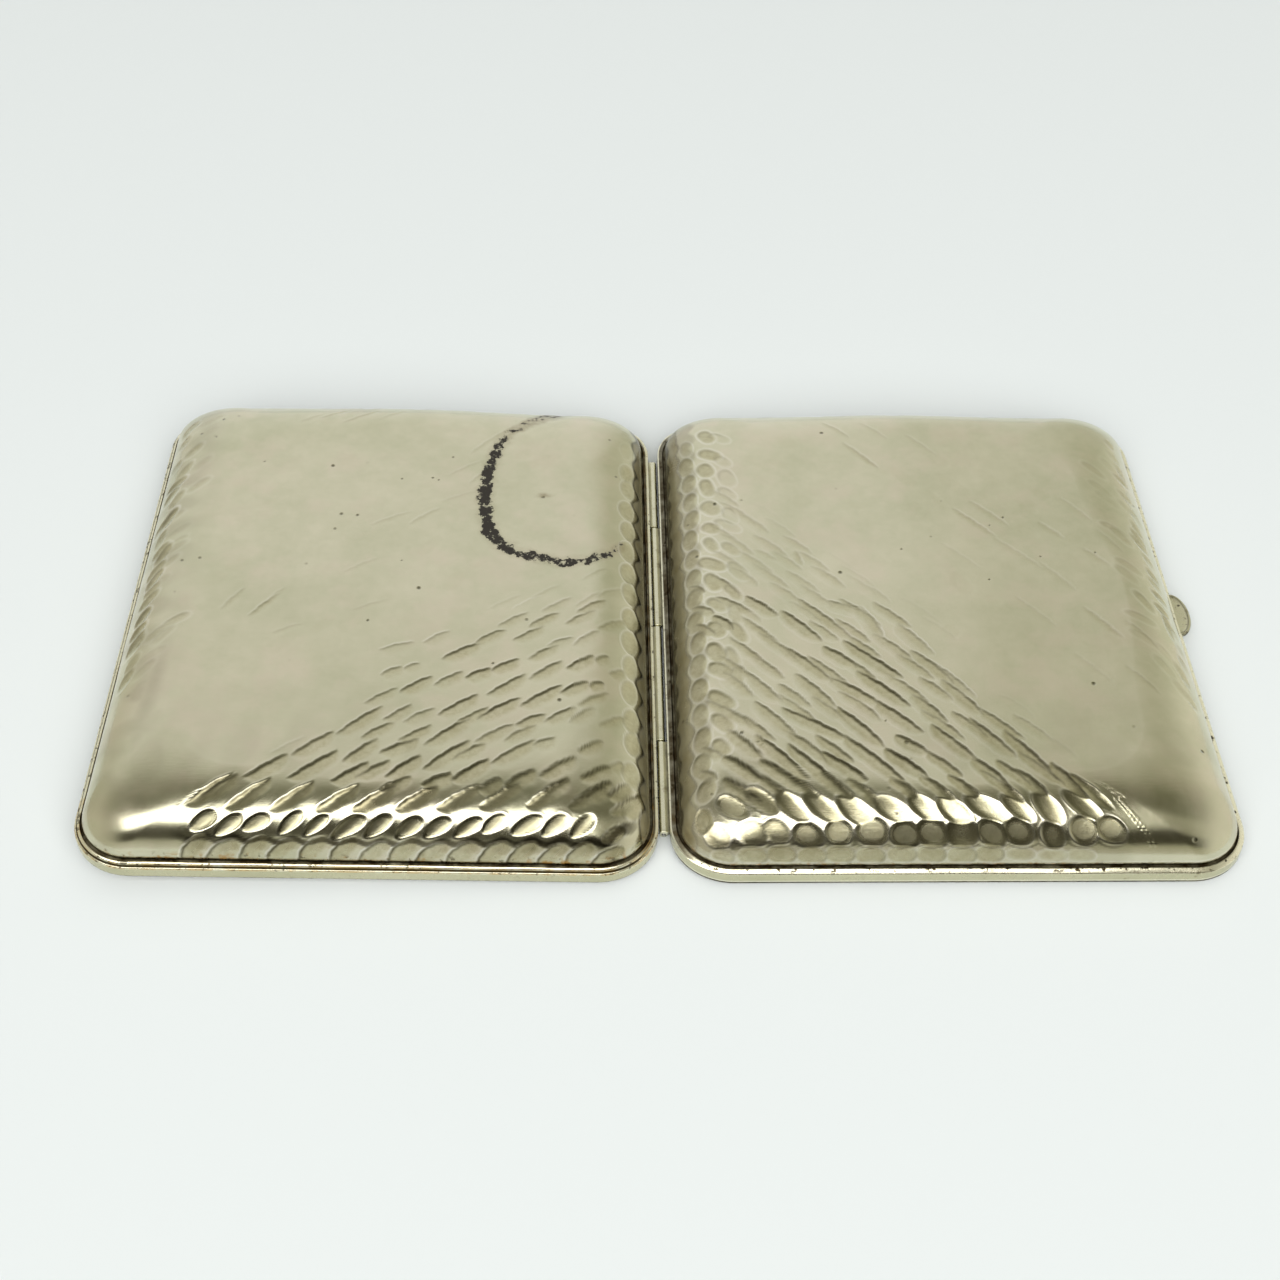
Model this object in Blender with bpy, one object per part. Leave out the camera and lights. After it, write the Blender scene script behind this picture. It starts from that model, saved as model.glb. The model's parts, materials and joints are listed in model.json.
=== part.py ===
"""Pocket cigarette case, lying open on its rims with both outer faces up.

Two pressed and hammered cover shells sit on drawn rim frames. The frames are
joined by a four-knuckle hinge. The right frame carries a sliding thumb-piece
with a leaf spring behind it, and an inner lip. The left frame carries the
catch tongue. An elastic band crosses each half to hold the cigarettes.

Each half is described in its own frame: x runs from the hinge axis to the
outer edge, y along the hinge, z up from the mating plane of the rim.
"u" is always the distance inwards from the rim's outer outline.
"""
import math

import bmesh
import bpy
from mathutils import Vector

MM = 0.001

# ---- overall -------------------------------------------------------------
RIM_W = 82.0            # rim, hinge side to outer side
RIM_L = 100.0           # rim, along the hinge
RIM_R = 8.8             # rim corner radius in plan
AXIS_TO_RIM = 0.85      # hinge axis to the rim's hinge side
CLOSED_GAP = 0.30       # gap between the two rims when shut
TILT_DEG = 1.64         # the left half stands this much up, on its tongue
GAP = 0.30              # clearance between neighbouring pieces

# ---- rim frame -----------------------------------------------------------
FRAME_IN = 2.4          # u of the frame's inner wall
FRAME_PROFILE = (       # (u, z) once round the section
    (2.4, 0.0), (0.25, 0.0), (0.0, 0.25), (0.0, 2.1), (0.15, 2.3),
    (0.38, 2.3), (0.5, 2.41), (0.72, 2.45), (2.4, 2.45),
)

# ---- cover shell ---------------------------------------------------------
SHELL_U = 1.2           # u of the shell's skirt
SHELL_Z = 2.75          # lower edge of the skirt
SHELL_T = 0.6           # sheet thickness
DOME_H = (6.35, 6.65)   # height of the shoulder at the corners, mid-side
SHOULDER = (12.5, 9.5)  # width of the shoulder at the corners, mid-side
SHOULDER_END = 86.0     # degrees of the quarter ellipse that are used
CROWN_Z = 9.7           # height of the flat in the middle of the cover
FLAT_U = 24.0           # u of that flat
FLAT_R = 10.5           # corner radius of the flat
SHOULDER_STEPS = 8
CROWN_STEPS = 2
CORNER_STEPS = 8
SIDE_STEPS = 8

# ---- hinge ---------------------------------------------------------------
KNUCKLE_R = 0.62
BORE_R = 0.42
PIN_R = 0.34
KNUCKLES = ((74.65, 91.6), (51.15, 74.35), (26.65, 50.85), (9.0, 26.35))
PIN_Y = (8.8, 91.8)

# ---- inner lip of the right half ----------------------------------------
LIP_U = (2.7, 3.2)
LIP_TOP = 0.9
LIP_CORNER = 11.0       # the strips stop here, short of the rounded corners

# ---- catch ---------------------------------------------------------------
CATCH_Y = 52.0          # centre of thumb-piece and tongue along the hinge
THUMB_W = 9.2
THUMB_OUT = 2.3         # how far it stands out of the rim
THUMB_IN = 5.1          # u of its inner end
THUMB_Z = (1.25, 1.95)
WINDOW_U = (1.9, 3.8)
WINDOW_W = 4.6
SLOT_CLEAR = 0.25
TONGUE_W = 3.8
LIP_BREAK = 7.2         # the lip is left open this far for the tongue
LEAF_Y = (33.0, 71.0)
LEAF_T = 0.3
LEAF_Z = (1.1, 2.1)
LEAF_MID_U = 5.4
LEAF_END_U = 3.35

# ---- elastic bands -------------------------------------------------------
BAND_W = 10.0
BAND_Z = (0.35, 1.05)
BAND_END_U = 3.5
CLIP_W = 12.0

# The knuckles and the lip reach the same depth below the mating plane, so the
# right half lies level on both.
LIP_DEPTH = KNUCKLE_R + CLOSED_GAP / 2
RIM_Z = LIP_DEPTH                    # height of the right mating plane
AXIS_Z = RIM_Z - CLOSED_GAP / 2      # height of the hinge axis
TILT = math.radians(TILT_DEG)
X_OUT = AXIS_TO_RIM + RIM_W          # outer side of the rim
X_MID = AXIS_TO_RIM + RIM_W / 2

# The tongue is as long as it has to be to hold the left half at its tilt.
TONGUE_X = X_OUT - 3.3
TONGUE_DEPTH = (AXIS_Z + TONGUE_X * math.sin(TILT)) / math.cos(TILT) + CLOSED_GAP / 2


# ---- materials -----------------------------------------------------------
def material(name, colour, rough, metal):
    m = bpy.data.materials.new(name)
    m.use_nodes = True
    b = m.node_tree.nodes["Principled BSDF"]
    b.inputs["Base Color"].default_value = (*colour, 1.0)
    b.inputs["Roughness"].default_value = rough
    b.inputs["Metallic"].default_value = metal
    m.diffuse_color = (*colour, 1.0)
    return m


SHELL_COLOUR = (0.62, 0.59, 0.47)
FRAME_COLOUR = (0.58, 0.54, 0.41)
BRASS_COLOUR = (0.66, 0.52, 0.28)
STEEL_COLOUR = (0.50, 0.50, 0.50)
ELASTIC_COLOUR = (0.55, 0.42, 0.22)


# ---- mesh helpers --------------------------------------------------------
def outline(u, radius, steps=CORNER_STEPS):
    """The rim's outline moved inwards by u, with the given corner radius."""
    x0, x1 = AXIS_TO_RIM + u, X_OUT - u
    y0, y1 = u, RIM_L - u
    points = []
    for cx, cy, start in (
        (x1 - radius, y0 + radius, -90), (x1 - radius, y1 - radius, 0),
        (x0 + radius, y1 - radius, 90), (x0 + radius, y0 + radius, 180),
    ):
        for i in range(steps + 1):
            a = math.radians(start + 90 * i / steps)
            points.append((cx + radius * math.cos(a), cy + radius * math.sin(a)))
    return points


def bridge(first, second, count):
    """Quads between two rings of vertices that start at these indices."""
    return [
        (first + i, first + (i + 1) % count, second + (i + 1) % count, second + i)
        for i in range(count)
    ]


def finish_mesh(name, verts, faces, mat, half, smooth=None):
    """Makes the object, mirrored for the left half, and hangs it on its half."""
    if half == "left":
        verts = [(-x, y, z + CLOSED_GAP / 2) for x, y, z in verts]
    mesh = bpy.data.meshes.new(name)
    mesh.from_pydata([(x * MM, y * MM, z * MM) for x, y, z in verts], [], faces)
    bm = bmesh.new()
    bm.from_mesh(mesh)
    bmesh.ops.recalc_face_normals(bm, faces=bm.faces)
    bm.to_mesh(mesh)
    bm.free()
    mesh.materials.append(mat)
    if smooth is not None:
        mesh.shade_smooth()
        mesh.set_sharp_from_angle(angle=math.radians(smooth))
    obj = bpy.data.objects.new(name, mesh)
    bpy.context.scene.collection.objects.link(obj)
    obj.parent = half_frames[half]
    return obj


def ring_sweep(name, profile, mat, half):
    """A closed section swept once round the rim."""
    rings = [outline(u, max(RIM_R - u, 1.0)) for u, _ in profile]
    n = len(rings[0])
    verts = [(x, y, z) for (_, z), ring in zip(profile, rings) for x, y in ring]
    faces = []
    for k in range(len(profile)):
        faces += bridge(k * n, ((k + 1) % len(profile)) * n, n)
    return finish_mesh(name, verts, faces, mat, half, 35)


def stations(u, radius, push=0.0):
    """Evenly spread points of the outline at u, with the bow along each side.

    Each is (x, y, bow): bow is 0 at the corners and 1 in the middle of a side,
    where the point also stands push further out.
    """
    x0, x1 = AXIS_TO_RIM + u, X_OUT - u
    y0, y1 = u, RIM_L - u
    points = []
    for cx, cy, start, run in (
        (x1 - radius, y0 + radius, -90, y1 - y0 - 2 * radius),
        (x1 - radius, y1 - radius, 0, x1 - x0 - 2 * radius),
        (x0 + radius, y1 - radius, 90, y1 - y0 - 2 * radius),
        (x0 + radius, y0 + radius, 180, x1 - x0 - 2 * radius),
    ):
        for i in range(CORNER_STEPS + 1):
            a = math.radians(start + 90 * i / CORNER_STEPS)
            points.append((cx + radius * math.cos(a), cy + radius * math.sin(a), 0.0))
        # the straight side that follows, along the turned direction
        ox, oy = round(math.cos(a)), round(math.sin(a))
        for i in range(1, SIDE_STEPS):
            s = i / SIDE_STEPS
            bow = math.sin(math.pi * s) ** 2
            points.append((
                cx + ox * (radius + push * bow) - oy * run * s,
                cy + oy * (radius + push * bow) + ox * run * s, bow,
            ))
    return points


def cover(name, mat, half):
    """A pressed sheet: upright skirt, cushion shoulders, a low crown, a flat."""
    def blend(a, b, w):
        return a + (b - a) * w

    def rings(offset):
        edge = stations(SHELL_U + offset, RIM_R - SHELL_U - offset)
        top = stations(SHELL_U + SHOULDER[0], FLAT_R, SHOULDER[0] - SHOULDER[1])
        flat = stations(FLAT_U, FLAT_R)
        made = []
        for i in range(SHOULDER_STEPS + 1):
            t = math.radians(SHOULDER_END) * i / SHOULDER_STEPS
            w = 1 - math.cos(t)
            made.append([
                (blend(e[0], f[0], w), blend(e[1], f[1], w),
                 SHELL_Z + (blend(*DOME_H, f[2]) - offset) * math.sin(t))
                for e, f in zip(edge, top)
            ])
        last = made[-1]
        for i in range(1, CROWN_STEPS + 1):
            w = i / CROWN_STEPS
            made.append([
                (blend(e[0], f[0], w), blend(e[1], f[1], w),
                 blend(e[2], CROWN_Z - offset, w * (2 - w)))
                for e, f in zip(last, flat)
            ])
        return made

    outer, inner = rings(0.0), rings(SHELL_T)
    n = len(outer[0])
    stack = inner[::-1] + outer
    verts = [p for ring in stack for p in ring]
    faces = []
    for k in range(len(stack) - 1):
        for a, b, c, d in bridge(k * n, (k + 1) * n, n):
            faces += [(a, b, c), (a, c, d)]
    faces.append(tuple(range(n)))
    last = (len(stack) - 1) * n
    faces.append(tuple(range(last, last + n)))
    return finish_mesh(name, verts, faces, mat, half, 40)


def prism(name, polygon, low, high, along, mat, half, smooth=None):
    """A polygon drawn across one axis and extruded along it.

    along "z": polygon is (x, y). along "y": polygon is (x, z).
    along "x": polygon is (y, z).
    """
    order = {
        "z": lambda a, b, c: (a, b, c),
        "y": lambda a, b, c: (a, c, b),
        "x": lambda a, b, c: (c, a, b),
    }[along]
    n = len(polygon)
    verts = [order(a, b, low) for a, b in polygon]
    verts += [order(a, b, high) for a, b in polygon]
    faces = bridge(0, n, n) + [tuple(range(n)), tuple(range(n, 2 * n))]
    return finish_mesh(name, verts, faces, mat, half, smooth)


def block(name, x, y, z, mat, half, bevel=0.0):
    obj = prism(
        name, [(x[0], y[0]), (x[1], y[0]), (x[1], y[1]), (x[0], y[1])],
        z[0], z[1], "z", mat, half,
    )
    if bevel:
        soften(obj, bevel)
    return obj


def soften(obj, width, segments=1):
    mod = obj.modifiers.new("edge", "BEVEL")
    mod.width = width * MM
    mod.segments = segments
    mod.limit_method = "ANGLE"
    mod.angle_limit = math.radians(40)


def cut(obj, cutter):
    cutter.hide_render = True
    cutter.display_type = "WIRE"
    mod = obj.modifiers.new("cut_" + cutter.name, "BOOLEAN")
    mod.operation = "DIFFERENCE"
    mod.solver = "EXACT"
    mod.object = cutter


def tube(name, y, outer, inner, sides, mat, half):
    """A tube or, with inner 0, a rod along the hinge axis."""
    verts, faces = [], []
    radii = (outer, inner) if inner else (outer,)
    for radius in radii:
        for yy in y:
            for i in range(sides):
                a = 2 * math.pi * i / sides
                verts.append((
                    radius * math.cos(a), yy,
                    radius * math.sin(a) - CLOSED_GAP / 2,
                ))
    s = sides
    faces += bridge(0, s, s)
    if inner:
        faces += bridge(2 * s, 3 * s, s)
        faces += bridge(0, 2 * s, s)
        faces += bridge(s, 3 * s, s)
    else:
        faces += [tuple(range(s)), tuple(range(s, 2 * s))]
    return finish_mesh(name, verts, faces, mat, half, 40)


# ---- scene ---------------------------------------------------------------
for old in list(bpy.data.objects):
    bpy.data.objects.remove(old, do_unlink=True)

case = bpy.data.objects.new("case", None)
right_half = bpy.data.objects.new("right_half", None)
hinge_axis = bpy.data.objects.new("hinge_axis", None)
for empty in (case, right_half, hinge_axis):
    bpy.context.scene.collection.objects.link(empty)
right_half.parent = case
hinge_axis.parent = case
right_half.location = (0, 0, RIM_Z * MM)
hinge_axis.location = (0, 0, AXIS_Z * MM)
hinge_axis.rotation_euler = (0, TILT, 0)
half_frames = {"right": right_half, "left": hinge_axis}

shell_metal = material("nickel_silver_cover", SHELL_COLOUR, 0.28, 1.0)
frame_metal = material("nickel_silver_frame", FRAME_COLOUR, 0.34, 1.0)
gilt_metal = material("gilt_brass", BRASS_COLOUR, 0.35, 1.0)
spring_steel = material("spring_steel", STEEL_COLOUR, 0.40, 1.0)
elastic = material("elastic_ribbon", ELASTIC_COLOUR, 0.85, 0.0)

# Covers and rim frames
cover("left_cover", shell_metal, "left")
cover("right_cover", shell_metal, "right")
ring_sweep("left_frame", FRAME_PROFILE, frame_metal, "left")
right_frame = ring_sweep("right_frame", FRAME_PROFILE, frame_metal, "right")

# The thumb-piece slides in a slot through the outer side of the right frame.
slot = block(
    "slot_cutter", (X_OUT - 3.0, X_OUT + 1.0),
    (CATCH_Y - THUMB_W / 2 - SLOT_CLEAR, CATCH_Y + THUMB_W / 2 + SLOT_CLEAR),
    (THUMB_Z[0] - SLOT_CLEAR, THUMB_Z[1] + SLOT_CLEAR), frame_metal, "right",
)
cut(right_frame, slot)

# Hinge: knuckles 1 and 3 belong to the left frame, 2 and 4 to the right.
for number, span in enumerate(KNUCKLES, 1):
    tube(
        "hinge_knuckle_%d" % number, span, KNUCKLE_R, BORE_R, 16, frame_metal,
        "left" if number % 2 else "right",
    )
tube("hinge_pin", PIN_Y, PIN_R, 0, 12, spring_steel, "right")

# Inner lip of the right half, in straight strips between the corners
lip_z = (-LIP_DEPTH, LIP_TOP)
lip_x = (AXIS_TO_RIM + LIP_CORNER, X_OUT - LIP_CORNER)
block("lip_near", lip_x, LIP_U, lip_z, gilt_metal, "right", 0.12)
block("lip_far", lip_x, (RIM_L - LIP_U[1], RIM_L - LIP_U[0]), lip_z,
      gilt_metal, "right", 0.12)
outer_x = (X_OUT - LIP_U[1], X_OUT - LIP_U[0])
block("lip_outer_near", outer_x, (LIP_CORNER, CATCH_Y - LIP_BREAK / 2), lip_z,
      gilt_metal, "right", 0.12)
block("lip_outer_far", outer_x, (CATCH_Y + LIP_BREAK / 2, RIM_L - LIP_CORNER),
      lip_z, gilt_metal, "right", 0.12)

# Thumb-piece: a flat slide with a half-oval end outside the rim and a window
# inside it for the tongue. Its origin is on the line that it slides along.
half_w = THUMB_W / 2
thumb_outline = [(X_OUT - THUMB_IN, CATCH_Y - half_w)]
for i in range(15):
    a = math.radians(-90 + 180 * i / 14)
    thumb_outline.append((
        X_OUT + THUMB_OUT * math.cos(a), CATCH_Y + half_w * math.sin(a),
    ))
thumb_outline.append((X_OUT - THUMB_IN, CATCH_Y + half_w))
thumb = prism("thumb_piece", thumb_outline, THUMB_Z[0], THUMB_Z[1], "z",
              frame_metal, "right")
soften(thumb, 0.15, 2)
window = block(
    "window_cutter", (X_OUT - WINDOW_U[1], X_OUT - WINDOW_U[0]),
    (CATCH_Y - WINDOW_W / 2, CATCH_Y + WINDOW_W / 2),
    (THUMB_Z[0] - 0.5, THUMB_Z[1] + 0.5), frame_metal, "right",
)
cut(thumb, window)
on_axis = Vector((X_OUT * MM, CATCH_Y * MM, sum(THUMB_Z) / 2 * MM))
for vertex in thumb.data.vertices:
    vertex.co -= on_axis
thumb.location = on_axis

# Leaf spring: bowed inwards behind the slide, ends held by two keepers
leaf = []
steps = 20
for side in (0, 1):
    row = []
    for i in range(steps + 1):
        s = i / steps
        y = LEAF_Y[0] + (LEAF_Y[1] - LEAF_Y[0]) * s
        bow = math.sin(math.pi * s) ** 2
        u = LEAF_END_U + (LEAF_MID_U - LEAF_END_U) * bow + LEAF_T * side
        row.append((X_OUT - u, y))
    leaf += row if side == 0 else row[::-1]
prism("latch_spring", leaf, LEAF_Z[0], LEAF_Z[1], "z", spring_steel, "right", 50)
for name, end, inwards in (
    ("spring_keeper_near", LEAF_Y[0], 1), ("spring_keeper_far", LEAF_Y[1], -1),
):
    outer_u, inner_u = FRAME_IN + GAP, LEAF_END_U + LEAF_T + GAP + 0.35
    back, mouth = end - inwards * (GAP + 0.4), end + inwards * 2.0
    inside = end - inwards * GAP
    keeper = [
        (X_OUT - outer_u, back), (X_OUT - inner_u, back),
        (X_OUT - inner_u, mouth), (X_OUT - inner_u + 0.3, mouth),
        (X_OUT - inner_u + 0.3, inside), (X_OUT - outer_u - 0.3, inside),
        (X_OUT - outer_u - 0.3, mouth), (X_OUT - outer_u, mouth),
    ]
    prism(name, keeper, LEAF_Z[0], LEAF_Z[1], "z", gilt_metal, "right")

# Catch tongue of the left half: a foot inside the frame, a blade that goes
# through the slide's window, and a tooth that points inwards.
tip = -TONGUE_DEPTH
tongue = [
    (X_OUT - 2.7, 2.1), (X_OUT - 2.7, 0.3), (X_OUT - 3.0, 0.0),
    (X_OUT - 3.0, tip + 0.2), (X_OUT - 3.15, tip), (X_OUT - 3.45, tip),
    (X_OUT - 4.0, -2.62), (X_OUT - 4.0, -2.35), (X_OUT - 3.6, -2.35),
    (X_OUT - 3.6, 2.1),
]
prism("catch_tongue", tongue, CATCH_Y - TONGUE_W / 2, CATCH_Y + TONGUE_W / 2,
      "y", gilt_metal, "left")

# Elastic bands and the clips that hold their ends
for half in ("left", "right"):
    block(
        half + "_band", (X_MID - BAND_W / 2, X_MID + BAND_W / 2),
        (BAND_END_U, RIM_L - BAND_END_U), BAND_Z, elastic, half, 0.2,
    )
    section = [(2.7, 1.35), (7.5, 1.35), (7.5, 1.7), (3.1, 1.7), (3.1, 2.35),
               (2.7, 2.35)]
    prism(half + "_clip_near", section, X_MID - CLIP_W / 2, X_MID + CLIP_W / 2,
          "x", gilt_metal, half)
    prism(half + "_clip_far", [(RIM_L - a, b) for a, b in section],
          X_MID - CLIP_W / 2, X_MID + CLIP_W / 2, "x", gilt_metal, half)

# The origin goes to the middle of the footprint.
bpy.context.view_layer.update()
graph = bpy.context.evaluated_depsgraph_get()
low, high = [1e9] * 3, [-1e9] * 3
for obj in bpy.data.objects:
    if obj.type != "MESH" or obj.hide_render:
        continue
    shape = obj.evaluated_get(graph)
    for vertex in shape.data.vertices:
        place = shape.matrix_world @ vertex.co
        for k in range(3):
            low[k] = min(low[k], place[k])
            high[k] = max(high[k], place[k])
case.location = (-(low[0] + high[0]) / 2, -(low[1] + high[1]) / 2, -low[2])
bpy.context.view_layer.update()
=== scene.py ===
import json
import math

import bmesh
import bpy
import numpy as np
from mathutils import Matrix, Vector, kdtree

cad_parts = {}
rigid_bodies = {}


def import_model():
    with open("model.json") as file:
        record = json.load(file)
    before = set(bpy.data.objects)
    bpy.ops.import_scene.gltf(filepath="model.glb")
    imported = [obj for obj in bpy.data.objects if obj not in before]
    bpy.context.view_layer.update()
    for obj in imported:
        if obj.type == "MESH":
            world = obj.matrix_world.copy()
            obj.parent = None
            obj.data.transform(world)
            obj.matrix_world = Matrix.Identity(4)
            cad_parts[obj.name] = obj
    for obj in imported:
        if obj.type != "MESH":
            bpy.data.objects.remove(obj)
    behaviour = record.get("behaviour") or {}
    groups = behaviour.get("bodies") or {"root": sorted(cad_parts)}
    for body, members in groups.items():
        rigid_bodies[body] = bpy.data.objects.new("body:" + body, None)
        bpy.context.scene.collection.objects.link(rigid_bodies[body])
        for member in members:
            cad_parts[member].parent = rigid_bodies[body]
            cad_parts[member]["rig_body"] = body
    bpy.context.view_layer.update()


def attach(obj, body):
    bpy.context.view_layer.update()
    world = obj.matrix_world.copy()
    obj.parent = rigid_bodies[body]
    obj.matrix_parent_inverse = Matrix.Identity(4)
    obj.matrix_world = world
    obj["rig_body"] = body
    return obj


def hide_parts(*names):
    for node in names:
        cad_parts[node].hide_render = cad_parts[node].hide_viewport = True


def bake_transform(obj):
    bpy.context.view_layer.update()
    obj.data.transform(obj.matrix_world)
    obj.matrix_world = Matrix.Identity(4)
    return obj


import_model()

# Lengths here are in millimetres until place() turns them into the row frame.
# Each half has its own frame: x from the hinge axis to the outer side, y from
# the near edge to the far one, z up from the rim's mating plane. "u" is the
# distance inwards from the rim's outline.

MM = 0.001
RIM_W, RIM_L, RIM_R = 82.0, 100.0, 8.8
AXIS_TO_RIM = 0.85
X_OUT = AXIS_TO_RIM + RIM_W
X_MID = AXIS_TO_RIM + RIM_W / 2
TILT = math.radians(1.64)
AXIS_X, AXIS_Z = -1.173, 0.624      # the hinge axis in the row frame
RIM_Z = 0.774                       # the right mating plane in the row frame
HALF_GAP = 0.15
SHELL_U, SHELL_Z, SHELL_T = 1.2, 2.75, 0.6
CATCH_Y = 52.0


def place(half, p):
    """Half-frame millimetres to row-frame metres."""
    p = np.asarray(p, float)
    x, y, z = p[..., 0], p[..., 1], p[..., 2]
    if half == "right":
        out = np.stack([x + AXIS_X, y - 50, z + RIM_Z], -1)
    else:
        c, s = math.cos(TILT), math.sin(TILT)
        h = z + HALF_GAP
        out = np.stack([AXIS_X - x * c + h * s, y - 50, AXIS_Z + x * s + h * c], -1)
    return out * MM


def body_for(half):
    return half + "_half"


def make(name, half, verts, faces, mats, body=None, face_mats=None,
         attrs=None, smooth=True, sharp=None, world=False):
    """A mesh piece from half-frame points, riding on its body."""
    pts = np.asarray(verts, float) * MM if world else place(half, verts)
    if half == "left" and not world:
        faces = [tuple(reversed(f)) for f in faces]
    mesh = bpy.data.meshes.new(name)
    mesh.from_pydata(pts.tolist(), [], faces)
    for m in mats:
        mesh.materials.append(m)
    if face_mats is not None:
        mesh.polygons.foreach_set("material_index", np.asarray(face_mats, np.int32))
    for key, values in (attrs or {}).items():
        layer = mesh.attributes.new(key, "FLOAT", "POINT")
        layer.data.foreach_set("value", np.asarray(values, np.float32))
    if smooth:
        mesh.shade_smooth()
    if sharp is not None:
        mesh.set_sharp_from_angle(angle=math.radians(sharp))
    mesh.update()
    obj = bpy.data.objects.new(name, mesh)
    bpy.context.scene.collection.objects.link(obj)
    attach(obj, body or body_for(half))
    return obj


# --------------------------------------------------------------------------
# Camera, light and floor
# --------------------------------------------------------------------------
def set_camera():
    e, yaw, roll = math.radians(45.094), 0.02937, 0.01990
    fwd = Vector((math.sin(yaw) * math.cos(e), math.cos(yaw) * math.cos(e), -math.sin(e)))
    right0 = Vector((math.cos(yaw), -math.sin(yaw), 0.0))
    up0 = right0.cross(fwd)
    right = math.cos(roll) * right0 + math.sin(roll) * up0
    up = -math.sin(roll) * right0 + math.cos(roll) * up0
    cam = bpy.data.cameras.new("camera")
    cam.sensor_width = 36.0
    cam.lens = 36.0 * 1825.73 / 1280.0
    cam.clip_start = 0.01
    obj = bpy.data.objects.new("camera", cam)
    bpy.context.scene.collection.objects.link(obj)
    m = Matrix((right, up, -fwd)).transposed().to_4x4()
    m.translation = Vector((-9.956, -205.595, 205.286)) * MM
    obj.matrix_world = m
    bpy.context.scene.camera = obj


def area_light(name, pos, size, radiance, colour=(1, 1, 1), aim=(0, 0, 0), seen=True,
               floor=True):
    data = bpy.data.lights.new(name, "AREA")
    data.shape = "RECTANGLE"
    data.size, data.size_y = size
    # a flat lamp of area A that shines at radiance L gives pi * A * L watts
    data.energy = math.pi * size[0] * size[1] * radiance
    data.color = colour
    obj = bpy.data.objects.new(name, data)
    bpy.context.scene.collection.objects.link(obj)
    obj.location = pos
    obj.rotation_euler = (Vector(aim) - Vector(pos)).to_track_quat("-Z", "Y").to_euler()
    obj.visible_glossy = seen
    obj.visible_diffuse = floor
    return obj


def set_world():
    """A soft tent: bright low down, dim between, with a dark stretch behind
    and above the viewer. Angle e runs from the far horizon over the top."""
    world = bpy.data.worlds.new("studio")
    bpy.context.scene.world = world
    world.use_nodes = True
    nt = world.node_tree
    nt.nodes.clear()
    N, L = nt.nodes, nt.links

    def node(kind, **kw):
        n = N.new(kind)
        for k, v in kw.items():
            setattr(n, k, v)
        return n

    def remap(value, a, b, c, d):
        n = node("ShaderNodeMapRange", interpolation_type="SMOOTHSTEP")
        for key, x in (("From Min", a), ("From Max", b), ("To Min", c), ("To Max", d)):
            n.inputs[key].default_value = x
        L.new(value, n.inputs["Value"])
        return n.outputs[0]

    def mix(f, a, b, blend="MIX"):
        n = node("ShaderNodeMix", data_type="RGBA", blend_type=blend)
        for key, v in (("Factor", f), ("A", a), ("B", b)):
            if isinstance(v, tuple):
                n.inputs[key].default_value = (*v, 1)
            elif isinstance(v, float):
                n.inputs[key].default_value = v
            else:
                L.new(v, n.inputs[key])
        return n.outputs["Result"]

    tc = node("ShaderNodeTexCoord")
    sep = node("ShaderNodeSeparateXYZ")
    L.new(tc.outputs["Generated"], sep.inputs[0])
    at = node("ShaderNodeMath", operation="ARCTAN2")
    L.new(sep.outputs["Z"], at.inputs[0])
    L.new(sep.outputs["Y"], at.inputs[1])
    div = node("ShaderNodeMath", operation="DIVIDE")
    L.new(at.outputs[0], div.inputs[0])
    div.inputs[1].default_value = math.pi
    ramp = node("ShaderNodeValToRGB")
    L.new(div.outputs[0], ramp.inputs[0])
    stops = (
        (0.0, (0.88, 0.89, 0.88)), (0.17, (0.83, 0.835, 0.81)),
        (0.24, (0.81, 0.81, 0.785)), (0.275, (0.80, 0.795, 0.765)),
        (0.30, (0.71, 0.705, 0.65)), (0.335, (0.44, 0.435, 0.37)),
        (0.375, (0.24, 0.235, 0.18)), (0.44, (0.19, 0.185, 0.135)),
        (0.487, (0.55, 0.54, 0.49)), (0.62, (0.42, 0.41, 0.36)),
        (0.65, (0.065, 0.06, 0.04)), (0.785, (0.075, 0.07, 0.05)),
        (0.845, (0.56, 0.555, 0.47)), (1.0, (0.82, 0.82, 0.78)),
    )
    cr = ramp.color_ramp
    while len(cr.elements) < len(stops):
        cr.elements.new(0.5)
    for el, (pos, col) in zip(cr.elements, stops):
        el.position = pos
        el.color = (*col, 1)
    side = node("ShaderNodeMath", operation="ABSOLUTE")
    L.new(sep.outputs["X"], side.inputs[0])
    # the room is dimmer on the right
    shaded = mix(remap(sep.outputs["X"], 0.08, 0.42, 0.0, 1.0), ramp.outputs[0],
                 mix(1.0, ramp.outputs[0], (0.70, 0.695, 0.60), "MULTIPLY"))
    walls = mix(remap(sep.outputs["X"], -0.2, 0.2, 0.0, 1.0),
                (0.64, 0.63, 0.53), (0.86, 0.85, 0.76))
    colour = mix(remap(side.outputs[0], 0.45, 0.88, 0.0, 1.0), shaded, walls)
    bg = node("ShaderNodeBackground")
    L.new(colour, bg.inputs["Color"])
    bg.inputs["Strength"].default_value = 1.0
    out = node("ShaderNodeOutputWorld")
    L.new(bg.outputs[0], out.inputs["Surface"])
    # the tent is what the metal mirrors; lamps light the paper and the ribbons
    world.cycles_visibility.diffuse = False


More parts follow.
